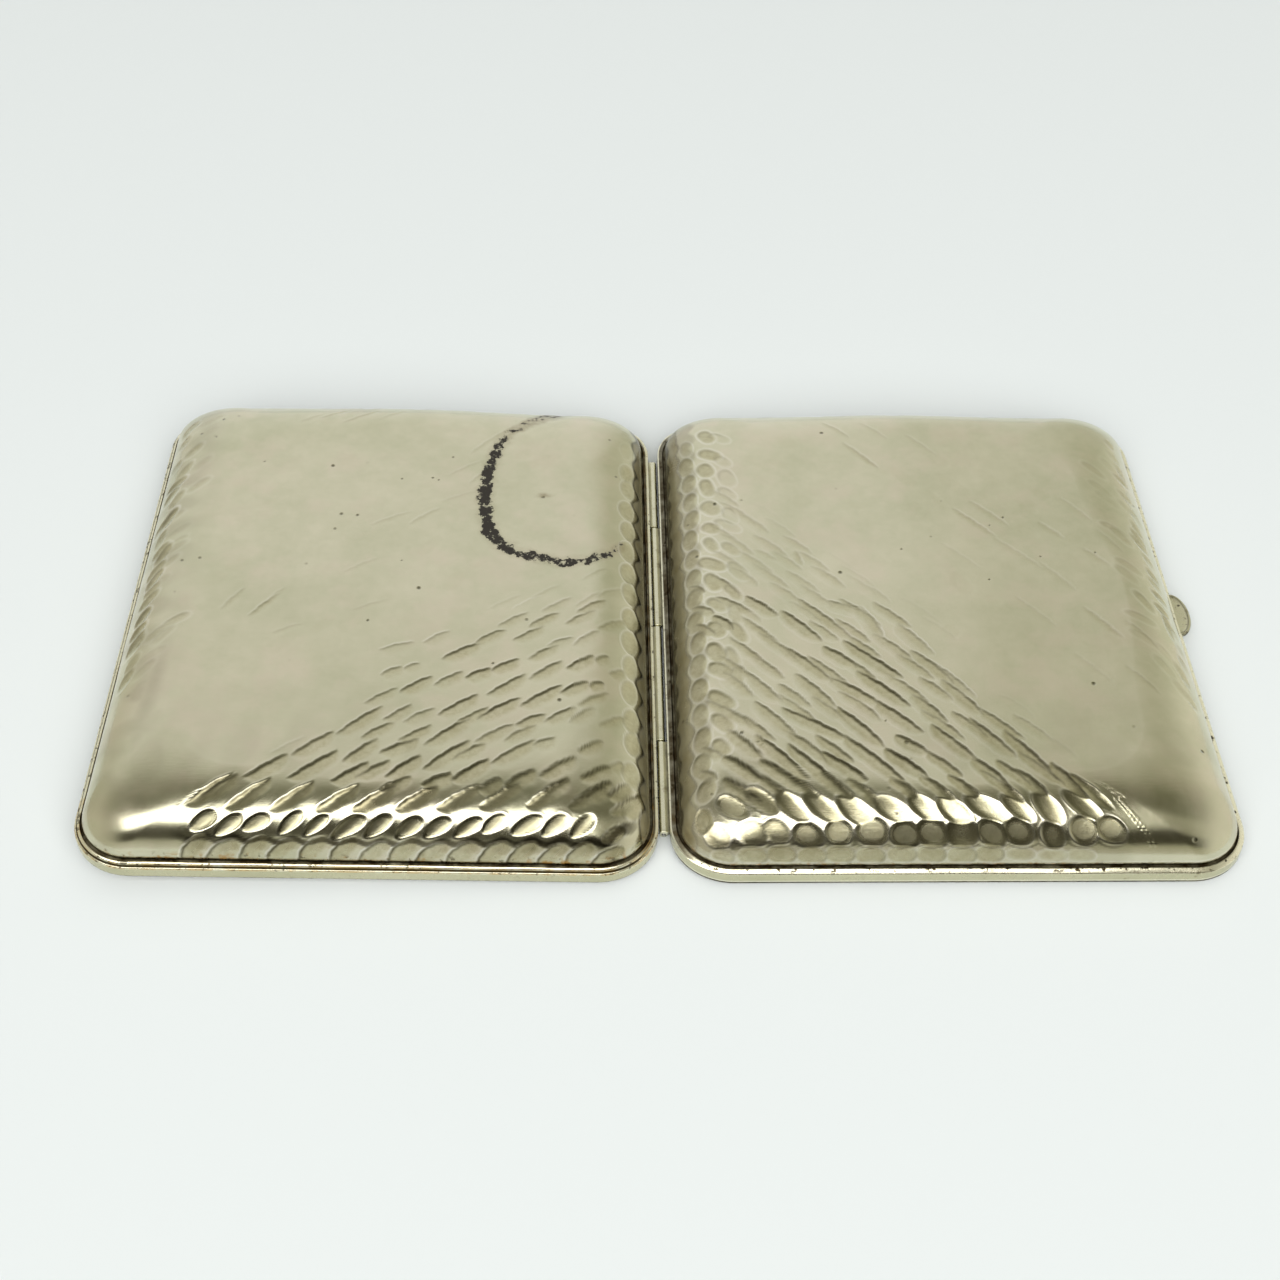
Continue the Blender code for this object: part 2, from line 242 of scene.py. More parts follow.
def set_stage():
    scene = bpy.context.scene
    scene.view_settings.view_transform = "Standard"
    scene.view_settings.look = "None"
    scene.view_settings.exposure = 0.0
    scene.view_settings.gamma = 1.0
    set_camera()
    set_world()
    area_light("softbox", (-0.22, -0.22, 1.0), (1.05, 0.42), 3.3,
               (1.0, 0.99, 0.97), (-0.22, -0.22, 0.0), floor=False)
    # two lamps that only lift the ground, as a white room would
    area_light("sky", (0.0, 0.3, 1.6), (3.2, 3.2), 0.43, (0.955, 0.99, 0.985),
               (0.0, 0.0, 0.0), seen=False)
    area_light("front", (0.0, -2.2, 1.9), (4.8, 2.4), 4.46, (0.98, 1.0, 0.985),
               (0.0, 0.0, 0.0), seen=False)
    mesh = bpy.data.meshes.new("floor")
    w, n = 3.0, 24
    verts = [((i / n - .5) * 2 * w, (j / n - .5) * 2 * w, 0.0)
             for j in range(n + 1) for i in range(n + 1)]
    faces = [(j * (n + 1) + i, j * (n + 1) + i + 1, (j + 1) * (n + 1) + i + 1,
              (j + 1) * (n + 1) + i) for j in range(n) for i in range(n)]
    mesh.from_pydata(verts, [], faces)
    floor = bpy.data.objects.new("floor", mesh)
    scene.collection.objects.link(floor)
    m = bpy.data.materials.new("paper")
    m.use_nodes = True
    b = m.node_tree.nodes["Principled BSDF"]
    b.inputs["Base Color"].default_value = (0.80, 0.82, 0.81, 1)
    b.inputs["Roughness"].default_value = 0.75
    b.inputs["Specular IOR Level"].default_value = 0.25
    mesh.materials.append(m)


# --------------------------------------------------------------------------
# Materials
# --------------------------------------------------------------------------
class Mat:
    """A small helper around one Principled material's nodes."""

    def __init__(self, name):
        self.m = bpy.data.materials.new(name)
        self.m.use_nodes = True
        self.nt = self.m.node_tree
        self.b = self.nt.nodes["Principled BSDF"]
        tc = self.nt.nodes.new("ShaderNodeTexCoord")
        self.obj = tc.outputs["Object"]

    def link(self, a, b):
        self.nt.links.new(a, b)

    def mapping(self, scale=(1, 1, 1), rot=(0, 0, 0), loc=(0, 0, 0)):
        n = self.nt.nodes.new("ShaderNodeMapping")
        n.inputs["Scale"].default_value = scale
        n.inputs["Rotation"].default_value = rot
        n.inputs["Location"].default_value = loc
        self.link(self.obj, n.inputs["Vector"])
        return n.outputs[0]

    def noise(self, scale, detail=3.0, rough=0.5, vec=None, dist=0.0):
        n = self.nt.nodes.new("ShaderNodeTexNoise")
        n.inputs["Scale"].default_value = scale
        n.inputs["Detail"].default_value = detail
        n.inputs["Roughness"].default_value = rough
        n.inputs["Distortion"].default_value = dist
        self.link(vec or self.obj, n.inputs["Vector"])
        return n.outputs["Fac"]

    def voronoi(self, scale, feature="F1", vec=None, out="Distance"):
        n = self.nt.nodes.new("ShaderNodeTexVoronoi")
        n.feature = feature
        n.inputs["Scale"].default_value = scale
        self.link(vec or self.obj, n.inputs["Vector"])
        return n.outputs[out]

    def attr(self, name):
        n = self.nt.nodes.new("ShaderNodeAttribute")
        n.attribute_name = name
        return n.outputs["Fac"]

    def math(self, op, a, b=0.0, c=None, clamp=False):
        n = self.nt.nodes.new("ShaderNodeMath")
        n.operation = op
        n.use_clamp = clamp
        for i, v in enumerate((a, b) if c is None else (a, b, c)):
            if isinstance(v, (int, float)):
                n.inputs[i].default_value = v
            else:
                self.link(v, n.inputs[i])
        return n.outputs[0]

    def remap(self, v, a, b, c=0.0, d=1.0, smooth=False):
        n = self.nt.nodes.new("ShaderNodeMapRange")
        n.interpolation_type = "SMOOTHSTEP" if smooth else "LINEAR"
        n.clamp = True
        self.link(v, n.inputs["Value"])
        for key, x in (("From Min", a), ("From Max", b), ("To Min", c), ("To Max", d)):
            n.inputs[key].default_value = x
        return n.outputs[0]

    def mix(self, f, a, b):
        n = self.nt.nodes.new("ShaderNodeMix")
        n.data_type = "RGBA"
        if isinstance(f, (int, float)):
            n.inputs["Factor"].default_value = f
        else:
            self.link(f, n.inputs["Factor"])
        for key, v in (("A", a), ("B", b)):
            if isinstance(v, tuple):
                n.inputs[key].default_value = (*v, 1.0)
            else:
                self.link(v, n.inputs[key])
        return n.outputs["Result"]

    def mixf(self, f, a, b):
        n = self.nt.nodes.new("ShaderNodeMix")
        n.data_type = "FLOAT"
        self.link(f, n.inputs["Factor"])
        for key, v in (("A", a), ("B", b)):
            if isinstance(v, (int, float)):
                n.inputs[key].default_value = v
            else:
                self.link(v, n.inputs[key])
        return n.outputs["Result"]

    def bump(self, height, distance, strength=1.0, normal=None):
        n = self.nt.nodes.new("ShaderNodeBump")
        n.inputs["Strength"].default_value = strength
        n.inputs["Distance"].default_value = distance
        self.link(height, n.inputs["Height"])
        if normal is not None:
            self.link(normal, n.inputs["Normal"])
        return n.outputs[0]

    def set(self, **kw):
        for key, v in kw.items():
            s = self.b.inputs[key.replace("_", " ")]
            if isinstance(v, (int, float)):
                s.default_value = v
            elif isinstance(v, tuple):
                s.default_value = (*v, 1.0)
            else:
                self.link(v, s)


def cover_material():
    """Hammered nickel silver: warm grey-green and rubbed, soiled in the seams, with painted shade and
    painted highlight on the hammer marks and painted shade in the hinge valley.
    """
    t = Mat("nickel_silver_hammered")
    big = t.noise(70.0, 4.0, 0.6)
    mid = t.noise(260.0, 4.0, 0.65)
    fine = t.noise(1500.0, 3.0, 0.6)
    # clouds of warmer and greener metal
    tone = t.math("ADD", t.math("MULTIPLY", big, 0.6), t.math("MULTIPLY", mid, 0.4))
    base = t.mix(t.remap(tone, 0.36, 0.64), (0.60, 0.59, 0.42), (0.71, 0.675, 0.51))
    pink = t.remap(t.noise(120.0, 4.0, 0.6, t.mapping((1, 1, 1), (0, 0, 0), (0.3, 0.2, 0))),
                   0.50, 0.66)
    base = t.mix(t.math("MULTIPLY", pink, 0.38), base, (0.74, 0.65, 0.52))
    # hollows get a yellow-olive tint and dark speckle, partly patina and partly painted shade; ridges
    # are paler, partly wear and partly painted highlight
    floor = t.attr("floor")
    speckle = t.remap(t.noise(1150.0, 3.0, 0.75), 0.38, 0.62)
    base = t.mix(t.math("MULTIPLY", floor, t.remap(mid, 0.3, 0.7, 0.30, 0.85), clamp=True),
                 base, (0.55, 0.51, 0.32))
    base = t.mix(t.math("MULTIPLY", floor, t.math("MULTIPLY", speckle, 0.30), clamp=True),
                 base, (0.36, 0.33, 0.19))
    base = t.mix(t.math("MULTIPLY", t.attr("wear_and_sheen"), 0.65, clamp=True), base,
                 (0.90, 0.87, 0.76))
    # a thin dark warm film: soil at the seam and in the hollows, with painted shade in the hinge
    # valley, the lowest rows, the upper cells and on the left outer shoulder, and a darkening towards
    # the near edge and low on the outer sides
    dirt_and_shade = t.attr("dirt_and_shade")
    film_and_shade = t.math("MULTIPLY", dirt_and_shade, t.remap(mid, 0.25, 0.7, 0.55, 1.0), clamp=True)
    base = t.mix(film_and_shade, base, (0.120, 0.088, 0.034))
    # tarnish and painted shade deep between the halves: a dull brown skin over the metal
    skin_and_shade = t.math("MULTIPLY", t.attr("tarnish_and_shade"), t.remap(mid, 0.25, 0.6, 0.75, 1.0), clamp=True)
    base = t.mix(skin_and_shade, base, t.mix(t.remap(t.noise(330.0, 3.0, 0.6), 0.35, 0.65),
                                   (0.20, 0.165, 0.075), (0.27, 0.235, 0.13)))
    # painted shade: near black on the shaded side of each hammer mark, in the furrow between the
    # lowest rows and along the hinge valley
    painted_shade = t.math("MULTIPLY", t.attr("painted_shade"), t.remap(mid, 0.3, 0.6, 0.65, 0.95), clamp=True)
    base = t.mix(painted_shade, base, (0.055, 0.045, 0.022))
    # amber specks above the seam
    speck = t.math("MULTIPLY", t.attr("seam"),
                   t.remap(t.noise(620.0, 2.0, 0.7), 0.55, 0.64), clamp=True)
    base = t.mix(t.math("MULTIPLY", speck, 0.85), base, (0.40, 0.20, 0.035))
    black = t.math("MULTIPLY", t.attr("seam"),
                   t.remap(t.noise(1000.0, 2.0, 0.7), 0.60, 0.66), clamp=True)
    base = t.mix(black, base, (0.06, 0.04, 0.015))
    # small dark pits
    pit = t.math("MULTIPLY",
                 t.remap(t.voronoi(210.0), 0.03, 0.09, 1.0, 0.0),
                 t.remap(t.noise(75.0, 1.0), 0.54, 0.60), clamp=True)
    pit = t.math("MAXIMUM", pit, t.attr("pits"))
    base = t.mix(t.math("MULTIPLY", pit, 0.8), base, (0.07, 0.06, 0.03))
    # the black ring of residue, broken up, with a brown edge
    grit = t.noise(760.0, 4.0, 0.8)
    stain = t.attr("stain")
    base = t.mix(t.math("MULTIPLY", stain, t.remap(grit, 0.3, 0.6, 0.35, 1.0), clamp=True),
                 base, (0.23, 0.165, 0.08))
    ring = t.math("ADD", t.attr("ring"), t.math("MULTIPLY_ADD", grit, 3.4, -1.7))
    ring_f = t.math("MULTIPLY", t.remap(ring, 0.42, 0.70, smooth=True),
                    t.remap(t.attr("ring"), 0.02, 0.25))
    base = t.mix(ring_f, base, (0.020, 0.016, 0.011))
    dull = t.math("MAXIMUM", t.math("MULTIPLY", ring_f, 0.8), t.math("MULTIPLY", skin_and_shade, 0.7))
    metal = t.math("SUBTRACT", 1.0, dull, clamp=True)
    rough = t.math("ADD", t.remap(mid, 0.3, 0.7, 0.15, 0.22),
                   t.math("MULTIPLY", film_and_shade, 0.16))
    rough = t.math("ADD", rough, t.math("MULTIPLY", ring_f, 0.4), clamp=True)
    rough = t.math("ADD", rough, t.math("MULTIPLY", t.attr("peen"), 0.13), clamp=True)
    # wear: crossing fine scratches, grain, and a faint peened texture
    hair = t.noise(60.0, 2.0, 0.5, t.mapping((7, 90, 30), (0, 0, 0.6)))
    hair2 = t.noise(60.0, 2.0, 0.5, t.mapping((60, 6, 30), (0, 0, -0.35)))
    h = t.math("ADD", t.math("MULTIPLY", hair, 0.35), t.math("MULTIPLY", hair2, 0.25))
    h = t.math("ADD", h, t.math("MULTIPLY", fine, 0.25))
    h = t.math("ADD", h, t.math("MULTIPLY", mid, 0.6))
    n1 = t.bump(h, 0.00002, 0.6)
    peen = t.math("MULTIPLY", t.attr("peen"), t.noise(900.0, 3.0, 0.7))
    n2 = t.bump(peen, 0.00004, 1.0, n1)
    n3 = t.bump(t.attr("knurl"), 0.00003, 1.0, n2)
    n4 = t.bump(t.math("MULTIPLY", pit, -1.0), 0.00006, 1.0, n3)
    t.set(Base_Color=base, Metallic=metal, Roughness=rough, Normal=n4)
    return t.m


def frame_material():
    t = Mat("nickel_silver_drawn")
    big = t.noise(60.0, 3.0, 0.55)
    mid = t.noise(420.0, 4.0, 0.65)
    along = t.noise(40.0, 2.0, 0.5, t.mapping((1, 1, 60)))
    base = t.mix(t.remap(big, 0.35, 0.65), (0.60, 0.58, 0.39), (0.70, 0.67, 0.47))
    # paler on the rim top, partly wear and partly painted highlight, and a painted reflection of the
    # floor low on the right side face; knuckles and slide are rubbed
    base = t.mix(t.math("MULTIPLY", t.attr("wear_and_sheen"), 0.9, clamp=True), base, (0.90, 0.88, 0.70))
    # brown spots on the side face
    brown = t.remap(t.noise(330.0, 4.0, 0.75), 0.60, 0.70)
    base = t.mix(t.math("MULTIPLY", brown, 0.45), base, (0.20, 0.13, 0.05))
    # dark in the channels and the groove, with painted shade down the hinge side and a painted contact
    # shadow along the bottom edge
    dirt_and_shade = t.attr("dirt_and_shade")
    dirt_and_shade_f = t.math("MULTIPLY", dirt_and_shade, t.remap(mid, 0.2, 0.6, 0.6, 1.0), clamp=True)
    base = t.mix(dirt_and_shade_f, base, (0.045, 0.030, 0.012))
    gold = t.math("MULTIPLY", t.attr("gold"), t.remap(mid, 0.36, 0.56), clamp=True)
    base = t.mix(t.math("MULTIPLY", gold, 0.8), base, (0.62, 0.40, 0.12))
    spot = t.math("MULTIPLY", t.attr("gold"),
                  t.remap(t.noise(800.0, 3.0, 0.7), 0.60, 0.67), clamp=True)
    base = t.mix(spot, base, (0.09, 0.05, 0.02))
    pit = t.math("MULTIPLY", t.attr("pitted"),
                 t.remap(t.noise(700.0, 3.0, 0.7), 0.585, 0.63), clamp=True)
    base = t.mix(pit, base, (0.05, 0.035, 0.015))
    rough = t.math("ADD", t.remap(mid, 0.3, 0.7, 0.20, 0.30),
                   t.math("MULTIPLY", dirt_and_shade_f, 0.35), clamp=True)
    nrm = t.bump(t.math("ADD", mid, t.math("MULTIPLY", along, 0.6)), 0.00003, 0.5)
    t.set(Base_Color=base, Metallic=1.0, Roughness=rough, Normal=nrm)
    return t.m


def gilt_material():
    """The gilt wash inside the covers, the lips and the clips."""
    t = Mat("gilt_wash")
    big = t.noise(45.0, 3.0, 0.55)
    mid = t.noise(500.0, 4.0, 0.65)
    base = t.mix(t.remap(big, 0.35, 0.68), (0.72, 0.53, 0.24), (0.82, 0.66, 0.36))
    wear = t.remap(t.noise(140.0, 5.0, 0.7), 0.58, 0.68)
    base = t.mix(t.math("MULTIPLY", wear, 0.45), base, (0.62, 0.57, 0.44))
    rough = t.remap(mid, 0.3, 0.7, 0.24, 0.40)
    brush = t.noise(60.0, 2.0, 0.5, t.mapping((4, 80, 30)))
    nrm = t.bump(t.math("ADD", t.math("MULTIPLY", brush, 0.6), mid), 0.00003, 0.5)
    t.set(Base_Color=base, Metallic=1.0, Roughness=rough, Normal=nrm)
    return t.m


def steel_material():
    t = Mat("spring_steel")
    mid = t.noise(700.0, 4.0, 0.65)
    draw = t.noise(50.0, 2.0, 0.5, t.mapping((60, 2, 60)))
    base = t.mix(t.remap(mid, 0.35, 0.65), (0.36, 0.35, 0.33), (0.52, 0.51, 0.49))
    rust = t.remap(t.noise(260.0, 4.0, 0.7), 0.60, 0.68)
    base = t.mix(t.math("MULTIPLY", rust, 0.6), base, (0.20, 0.10, 0.05))
    rough = t.math("ADD", t.remap(mid, 0.3, 0.7, 0.26, 0.38), t.math("MULTIPLY", rust, 0.3))
    nrm = t.bump(draw, 0.00002, 0.5)
    t.set(Base_Color=base, Metallic=1.0, Roughness=rough, Normal=nrm)
    return t.m


def elastic_material():
    """Ribbed woven elastic: ribs run along the band, picks across it."""
    t = Mat("elastic_ribbon")
    big = t.noise(50.0, 3.0, 0.6)
    pick = t.nt.nodes.new("ShaderNodeTexWave")
    pick.wave_type, pick.bands_direction = "BANDS", "Y"
    pick.inputs["Scale"].default_value = 560.0
    pick.inputs["Distortion"].default_value = 0.6
    pick.inputs["Detail"].default_value = 1.0
    t.link(t.obj, pick.inputs["Vector"])
    rib = t.nt.nodes.new("ShaderNodeTexWave")
    rib.wave_type, rib.bands_direction = "BANDS", "X"
    rib.inputs["Scale"].default_value = 330.0
    rib.inputs["Distortion"].default_value = 0.3
    t.link(t.obj, rib.inputs["Vector"])
    weave = t.math("MULTIPLY", pick.outputs["Fac"], rib.outputs["Fac"])
    base = t.mix(t.remap(big, 0.35, 0.65), (0.38, 0.25, 0.10), (0.50, 0.35, 0.16))
    base = t.mix(t.remap(weave, 0.0, 0.55, 0.55, 0.0), base, (0.16, 0.095, 0.035))
    edge = t.attr("edge")
    base = t.mix(t.math("MULTIPLY", edge, 0.5), base, (0.26, 0.16, 0.07))
    nrm = t.bump(weave, 0.00012, 0.9)
    t.set(Base_Color=base, Roughness=t.remap(weave, 0, 1, 0.92, 0.7), Normal=nrm)
    t.b.inputs["Sheen Weight"].default_value = 0.25
    t.b.inputs["Sheen Roughness"].default_value = 0.5
    return t.m


# --------------------------------------------------------------------------
# The covers
# --------------------------------------------------------------------------
DOME_H = (6.35, 6.65)
SHOULDER = (12.5, 9.5)
SHOULDER_END = 86.0
CROWN_Z = 9.67
FLAT_R = 10.5


def stations(u, radius, counts, push=0.0):
    """The outline at u as (n, 3): x, y and the bow along each side. It starts
    where the near side leaves the hinge corner and runs towards +x."""
    nx, ny, nc = counts
    x0, x1 = AXIS_TO_RIM + u, X_OUT - u
    y0, y1 = u, RIM_L - u
    out = []

    def side(p, d, length, n, o):
        for i in range(n):
            s = i / n
            bow = math.sin(math.pi * s) ** 2
            out.append((p[0] + d[0] * length * s + o[0] * push * bow,
                        p[1] + d[1] * length * s + o[1] * push * bow, bow))

    def arc(cx, cy, start):
        for i in range(nc):
            a = math.radians(start + 90 * i / nc)
            out.append((cx + radius * math.cos(a), cy + radius * math.sin(a), 0.0))

    lx, ly = x1 - x0 - 2 * radius, y1 - y0 - 2 * radius
    side((x0 + radius, y0), (1, 0), lx, nx, (0, -1))
    arc(x1 - radius, y0 + radius, -90)
    side((x1, y0 + radius), (0, 1), ly, ny, (1, 0))
    arc(x1 - radius, y1 - radius, 0)
    side((x1 - radius, y1), (-1, 0), lx, nx, (0, 1))
    arc(x0 + radius, y1 - radius, 90)
    side((x0, y1 - radius), (0, -1), ly, ny, (-1, 0))
    arc(x0 + radius, y0 + radius, 180)
    return np.array(out)


def sheet_points(counts, steps, offset):
    """One face of the cover: shoulder rings from the skirt up, then a grid.
    Returns points, the number per ring, and the grid's index table."""
    nx, ny, nc = counts
    edge = stations(SHELL_U + offset, RIM_R - SHELL_U - offset, counts)
    top = stations(SHELL_U + SHOULDER[0], FLAT_R, counts, SHOULDER[0] - SHOULDER[1])
    n = len(edge)
    bow = top[:, 2]
    high = DOME_H[0] + (DOME_H[1] - DOME_H[0]) * bow - offset
    # ring positions at even arc length
    tt = np.linspace(0, math.radians(SHOULDER_END), 2000)
    arc = np.concatenate([[0], np.cumsum(np.hypot(
        np.diff(11.0 * (1 - np.cos(tt))), np.diff(6.5 * np.sin(tt))))])
    ts = np.interp(np.linspace(0, arc[-1], steps + 1), arc, tt)
    rings = []
    for t in ts:
        w = 1 - math.cos(t)
        xy = edge[:, :2] + (top[:, :2] - edge[:, :2]) * w
        rings.append(np.c_[xy, SHELL_Z + high * math.sin(t)])
    last = rings[-1]
    gx, gy = nx + nc, ny + nc
    start = n - nc // 2
    ids = (start + np.arange(n)) % n
    bottom = last[ids[: gx + 1]]
    right = last[ids[gx: gx + gy + 1]]
    topr = last[ids[gx + gy: 2 * gx + gy + 1]][::-1]
    left = last[np.r_[ids[2 * gx + gy:], ids[:1]]][::-1]
    s = np.linspace(0, 1, gx + 1)[None, :, None]
    t = np.linspace(0, 1, gy + 1)[:, None, None]
    grid = ((1 - t) * bottom[None] + t * topr[None] + (1 - s) * left[:, None]
            + s * right[:, None]
            - ((1 - s) * (1 - t) * bottom[0] + s * (1 - t) * bottom[-1]
               + (1 - s) * t * topr[0] + s * t * topr[-1]))
    q = (16 * s * (1 - s) * t * (1 - t))[..., 0]
    middle = grid[gy // 2, gx // 2, 2]
    grid[..., 2] += (CROWN_Z - offset - middle) * q * (2 - q)
    table = np.full((gy + 1, gx + 1), -1)
    base = (len(rings) - 1) * n
    table[0, :] = base + ids[: gx + 1]
    table[:, -1] = base + ids[gx: gx + gy + 1]
    table[-1, :] = base + ids[gx + gy: 2 * gx + gy + 1][::-1]
    table[:, 0] = base + np.r_[ids[2 * gx + gy:], ids[:1]][::-1]
    inner = len(rings) * n + np.arange((gy - 1) * (gx - 1)).reshape(gy - 1, gx - 1)
    table[1:-1, 1:-1] = inner
    pts = np.concatenate(rings + [grid[1:-1, 1:-1].reshape(-1, 3)])
    return pts, n, len(rings), table


def ring_faces(a, b, n):
    i = np.arange(n)
    j = (i + 1) % n
    return np.stack([a + i, a + j, b + j, b + i], 1)


def grid_faces(table):
    return np.stack([table[:-1, :-1], table[:-1, 1:], table[1:, 1:], table[1:, :-1]],
                    -1).reshape(-1, 4)


def normals_of(pts, quads):
    """Area-weighted normals of the points."""
    d1 = pts[quads[:, 2]] - pts[quads[:, 0]]
    d2 = pts[quads[:, 3]] - pts[quads[:, 1]]
    fn = np.cross(d1, d2)
    out = np.zeros_like(pts)
    for k in range(4):
        np.add.at(out, quads[:, k], fn)
    return out / np.maximum(np.linalg.norm(out, axis=1, keepdims=True), 1e-12)


class Hammer:
    """Collects hammer marks in view coordinates (X, y) and cuts them.

    X runs from the outer edge on the left half, and from the hinge side of the
    rim on the right half; that is left to right in both. Kinds of mark:
    arc: a curved wall, crisp at its lip, with a floor that fades behind it
    cell: a flat-floored leaf with soft walls all round
    dish: a hollow that also flattens the round of the shoulder"""

    def __init__(self, half, pts, nrm, seed):
        self.half = half
        self.rng = np.random.default_rng(seed)
        self.pts, self.nrm = pts, nrm
        self.tree = kdtree.KDTree(len(pts))
        for i, p in enumerate(pts):
            self.tree.insert((p[0], p[1], 0.0), i)
        self.tree.balance()
        self.marks = []
        self.spots = []

    def local(self, X, y):
        return (X_OUT - X if self.half == "left" else X + AXIS_TO_RIM), y

    def near_y(self, X, t):
        """The plan y of the near shoulder at shoulder angle t, in degrees."""
        x = self.local(X, 0)[0]
        x0, x1 = AXIS_TO_RIM + RIM_R, X_OUT - RIM_R
        bow = math.sin(math.pi * min(max((x - x0) / (x1 - x0), 0), 1)) ** 2
        reach = SHOULDER[0] - (SHOULDER[0] - SHOULDER[1]) * bow
        return SHELL_U + reach * (1 - math.cos(math.radians(t)))

    def mark(self, X, y, angle, la, lb, depth, kind="arc", wall=0.4, curl=0.4,
             ridge=0.0, flat=0.7, painted_shade=(120, 0.0), taper=0.0, back=0.0):
        """angle: of the long axis, on the surface, in degrees from +X.
        The painted shade: the direction of the side painted dark as shade, and how dark it is.
        taper: how much a dish narrows towards its tail. back: a second lip
        behind an arc's floor."""
        if depth < 0.003:
            return
        x, y = self.local(X, y)
        _, i, _ = self.tree.find((x, y, 0.0))
        P, N = self.pts[i], self.nrm[i]
        T = np.array([0.0, 1.0, 0.0]) - N * N[1]
        T /= max(np.linalg.norm(T), 1e-9)
        S = np.cross(T, N)
        a = math.radians(angle)
        flip = -1.0 if self.half == "left" else 1.0
        A = flip * math.cos(a) * S + math.sin(a) * T
        B = -flip * math.sin(a) * S + math.cos(a) * T
        turn = math.radians(painted_shade[0] - angle)
        way = (math.cos(turn), math.sin(turn), painted_shade[1])
        phase = tuple(self.rng.uniform(0, 2 * math.pi, 2))
        self.marks.append((P, A, B, N, la, lb, depth, kind, wall, curl, ridge, flat,
                           way, taper, back, phase))
        self.spots.append((X, y))

    def stroke(self, x1, y1, x2, y2, depth, wall, curl, lb, ridge, shade=0.5, back=0.0):
        """An arc mark whose wall runs from (x1, y1) to (x2, y2)."""
        length = math.hypot(x2 - x1, y2 - y1)
        a = math.atan2(y2 - y1, x2 - x1)
        X = (x1 + x2) / 2 - math.sin(a) * curl * 0.6
        y = (y1 + y2) / 2 + math.cos(a) * curl * 0.6
        self.mark(X, y, math.degrees(a), length * 0.56, lb, depth, "arc", wall,
                  curl, ridge, painted_shade=(120, shade), back=back)

    def clear(self, X, y, gap):
        return all(math.hypot(X - a, y - b) > gap for a, b in self.spots)

    def cut(self, pts):
        """Depth of the deepest mark, height of the lips, and the painted shade along the marks."""
        depth, lip, painted_shade = (np.zeros(len(pts)) for _ in range(3))
        order = np.argsort(pts[:, 1])
        ys = pts[order, 1]
        for (P, A, B, N, la, lb, D, kind, wall, curl, rg, flat, way, taper, back,
             phase) in self.marks:
            reach = max(la, lb) + 1.0
            lo, hi = np.searchsorted(ys, (P[1] - reach, P[1] + reach))
            ids = order[lo:hi]
            rel = pts[ids] - P
            ok = (np.abs(rel[:, 0]) < reach) & (np.abs(rel @ N) < 2.4)
            ids, rel = ids[ok], rel[ok]
            a, b = rel @ A / la, rel @ B
            if kind == "arc":
                hook = np.clip(a - 0.55, 0, None)
                b = b + curl * (a * a + 1.3 * hook * hook)
                b = b + 0.05 * np.sin(2.3 * a * la + phase[0]) + 0.03 * np.sin(
                    5.1 * a * la + phase[1])
                env = np.clip(1 - np.abs(a) ** 3, 0, 1)
                width = lb * np.sqrt(env) + 1e-6
                deep = wall * np.clip(env, 0.12, 1) ** 0.6
                floor = smooth01((b + width) / np.maximum(width - deep, 0.2))
                front = 1 - (1 - np.clip(-b / deep, 0, 1)) ** 2
                d = D * env ** 0.7 * np.minimum(front, floor)
                line = env ** 0.5 * np.exp(-((b + 0.22) / 0.24) ** 2)
                edge = np.exp(-((b - 0.15) / 0.16) ** 2) * env ** 0.5
                if back:
                    edge = edge + back * env ** 0.6 * np.exp(-((b + width + 0.1) / 0.18) ** 2)
                dark = way[2] * D / 0.08
            elif kind == "cell":
                r = np.sqrt(np.abs(a) ** 3.0 + (b / lb) ** 2)
                d = D * smooth01((1 - r) / (wall / lb))
                turn = (a * way[0] + b / lb * way[1]) / np.maximum(r, 0.05)
                line = np.exp(-((r - 1 + 0.5 * wall / lb) * lb / 0.22) ** 2) * np.clip(
                    0.25 + turn, 0, 1)
                edge = np.exp(-((r - 1.04) * lb / 0.18) ** 2)
                dark = way[2]
            else:
                w = lb * (1 - taper * (1 - a) / 2)
                r = np.sqrt(a * a + (b / w) ** 2)
                turn = (a * way[0] + b / w * way[1]) / np.maximum(r, 0.05)
                power = 3.1 + 0.9 * turn
                d = D * (1 - r ** power) + flat * np.minimum(rel @ N, 0)
                rim = d * min(la, lb) / (power * D)      # distance inside the outline
                d = np.clip(d, 0, None)
                line = np.exp(-((rim - 0.12) / 0.20) ** 2) * np.clip(0.15 + turn, 0, 1)
                if way[2] > 0.8:
                    # painted shade over most of the floor of the deepest hollows
                    line = np.maximum(line, 0.62 * smooth01((0.45 + turn * r) / 0.6)
                                      * smooth01(rim / 0.1))
                edge = np.exp(-((rim + 0.12) / 0.15) ** 2) * (r < 1.6)
                dark = way[2]
            # painted shade: a dark line along each mark's wall and over its shaded side
            if dark:
                np.maximum.at(painted_shade, ids, min(dark, 1.0) * line)
            if rg:
                np.maximum.at(lip, ids, rg * edge)
            np.maximum.at(depth, ids, d)
        inside = np.clip(1 - depth / 0.05, 0, 1)
        return depth, lip * inside, painted_shade


def smooth01(v):
    v = np.clip(v, 0, 1)
    return v * v * (3 - 2 * v)
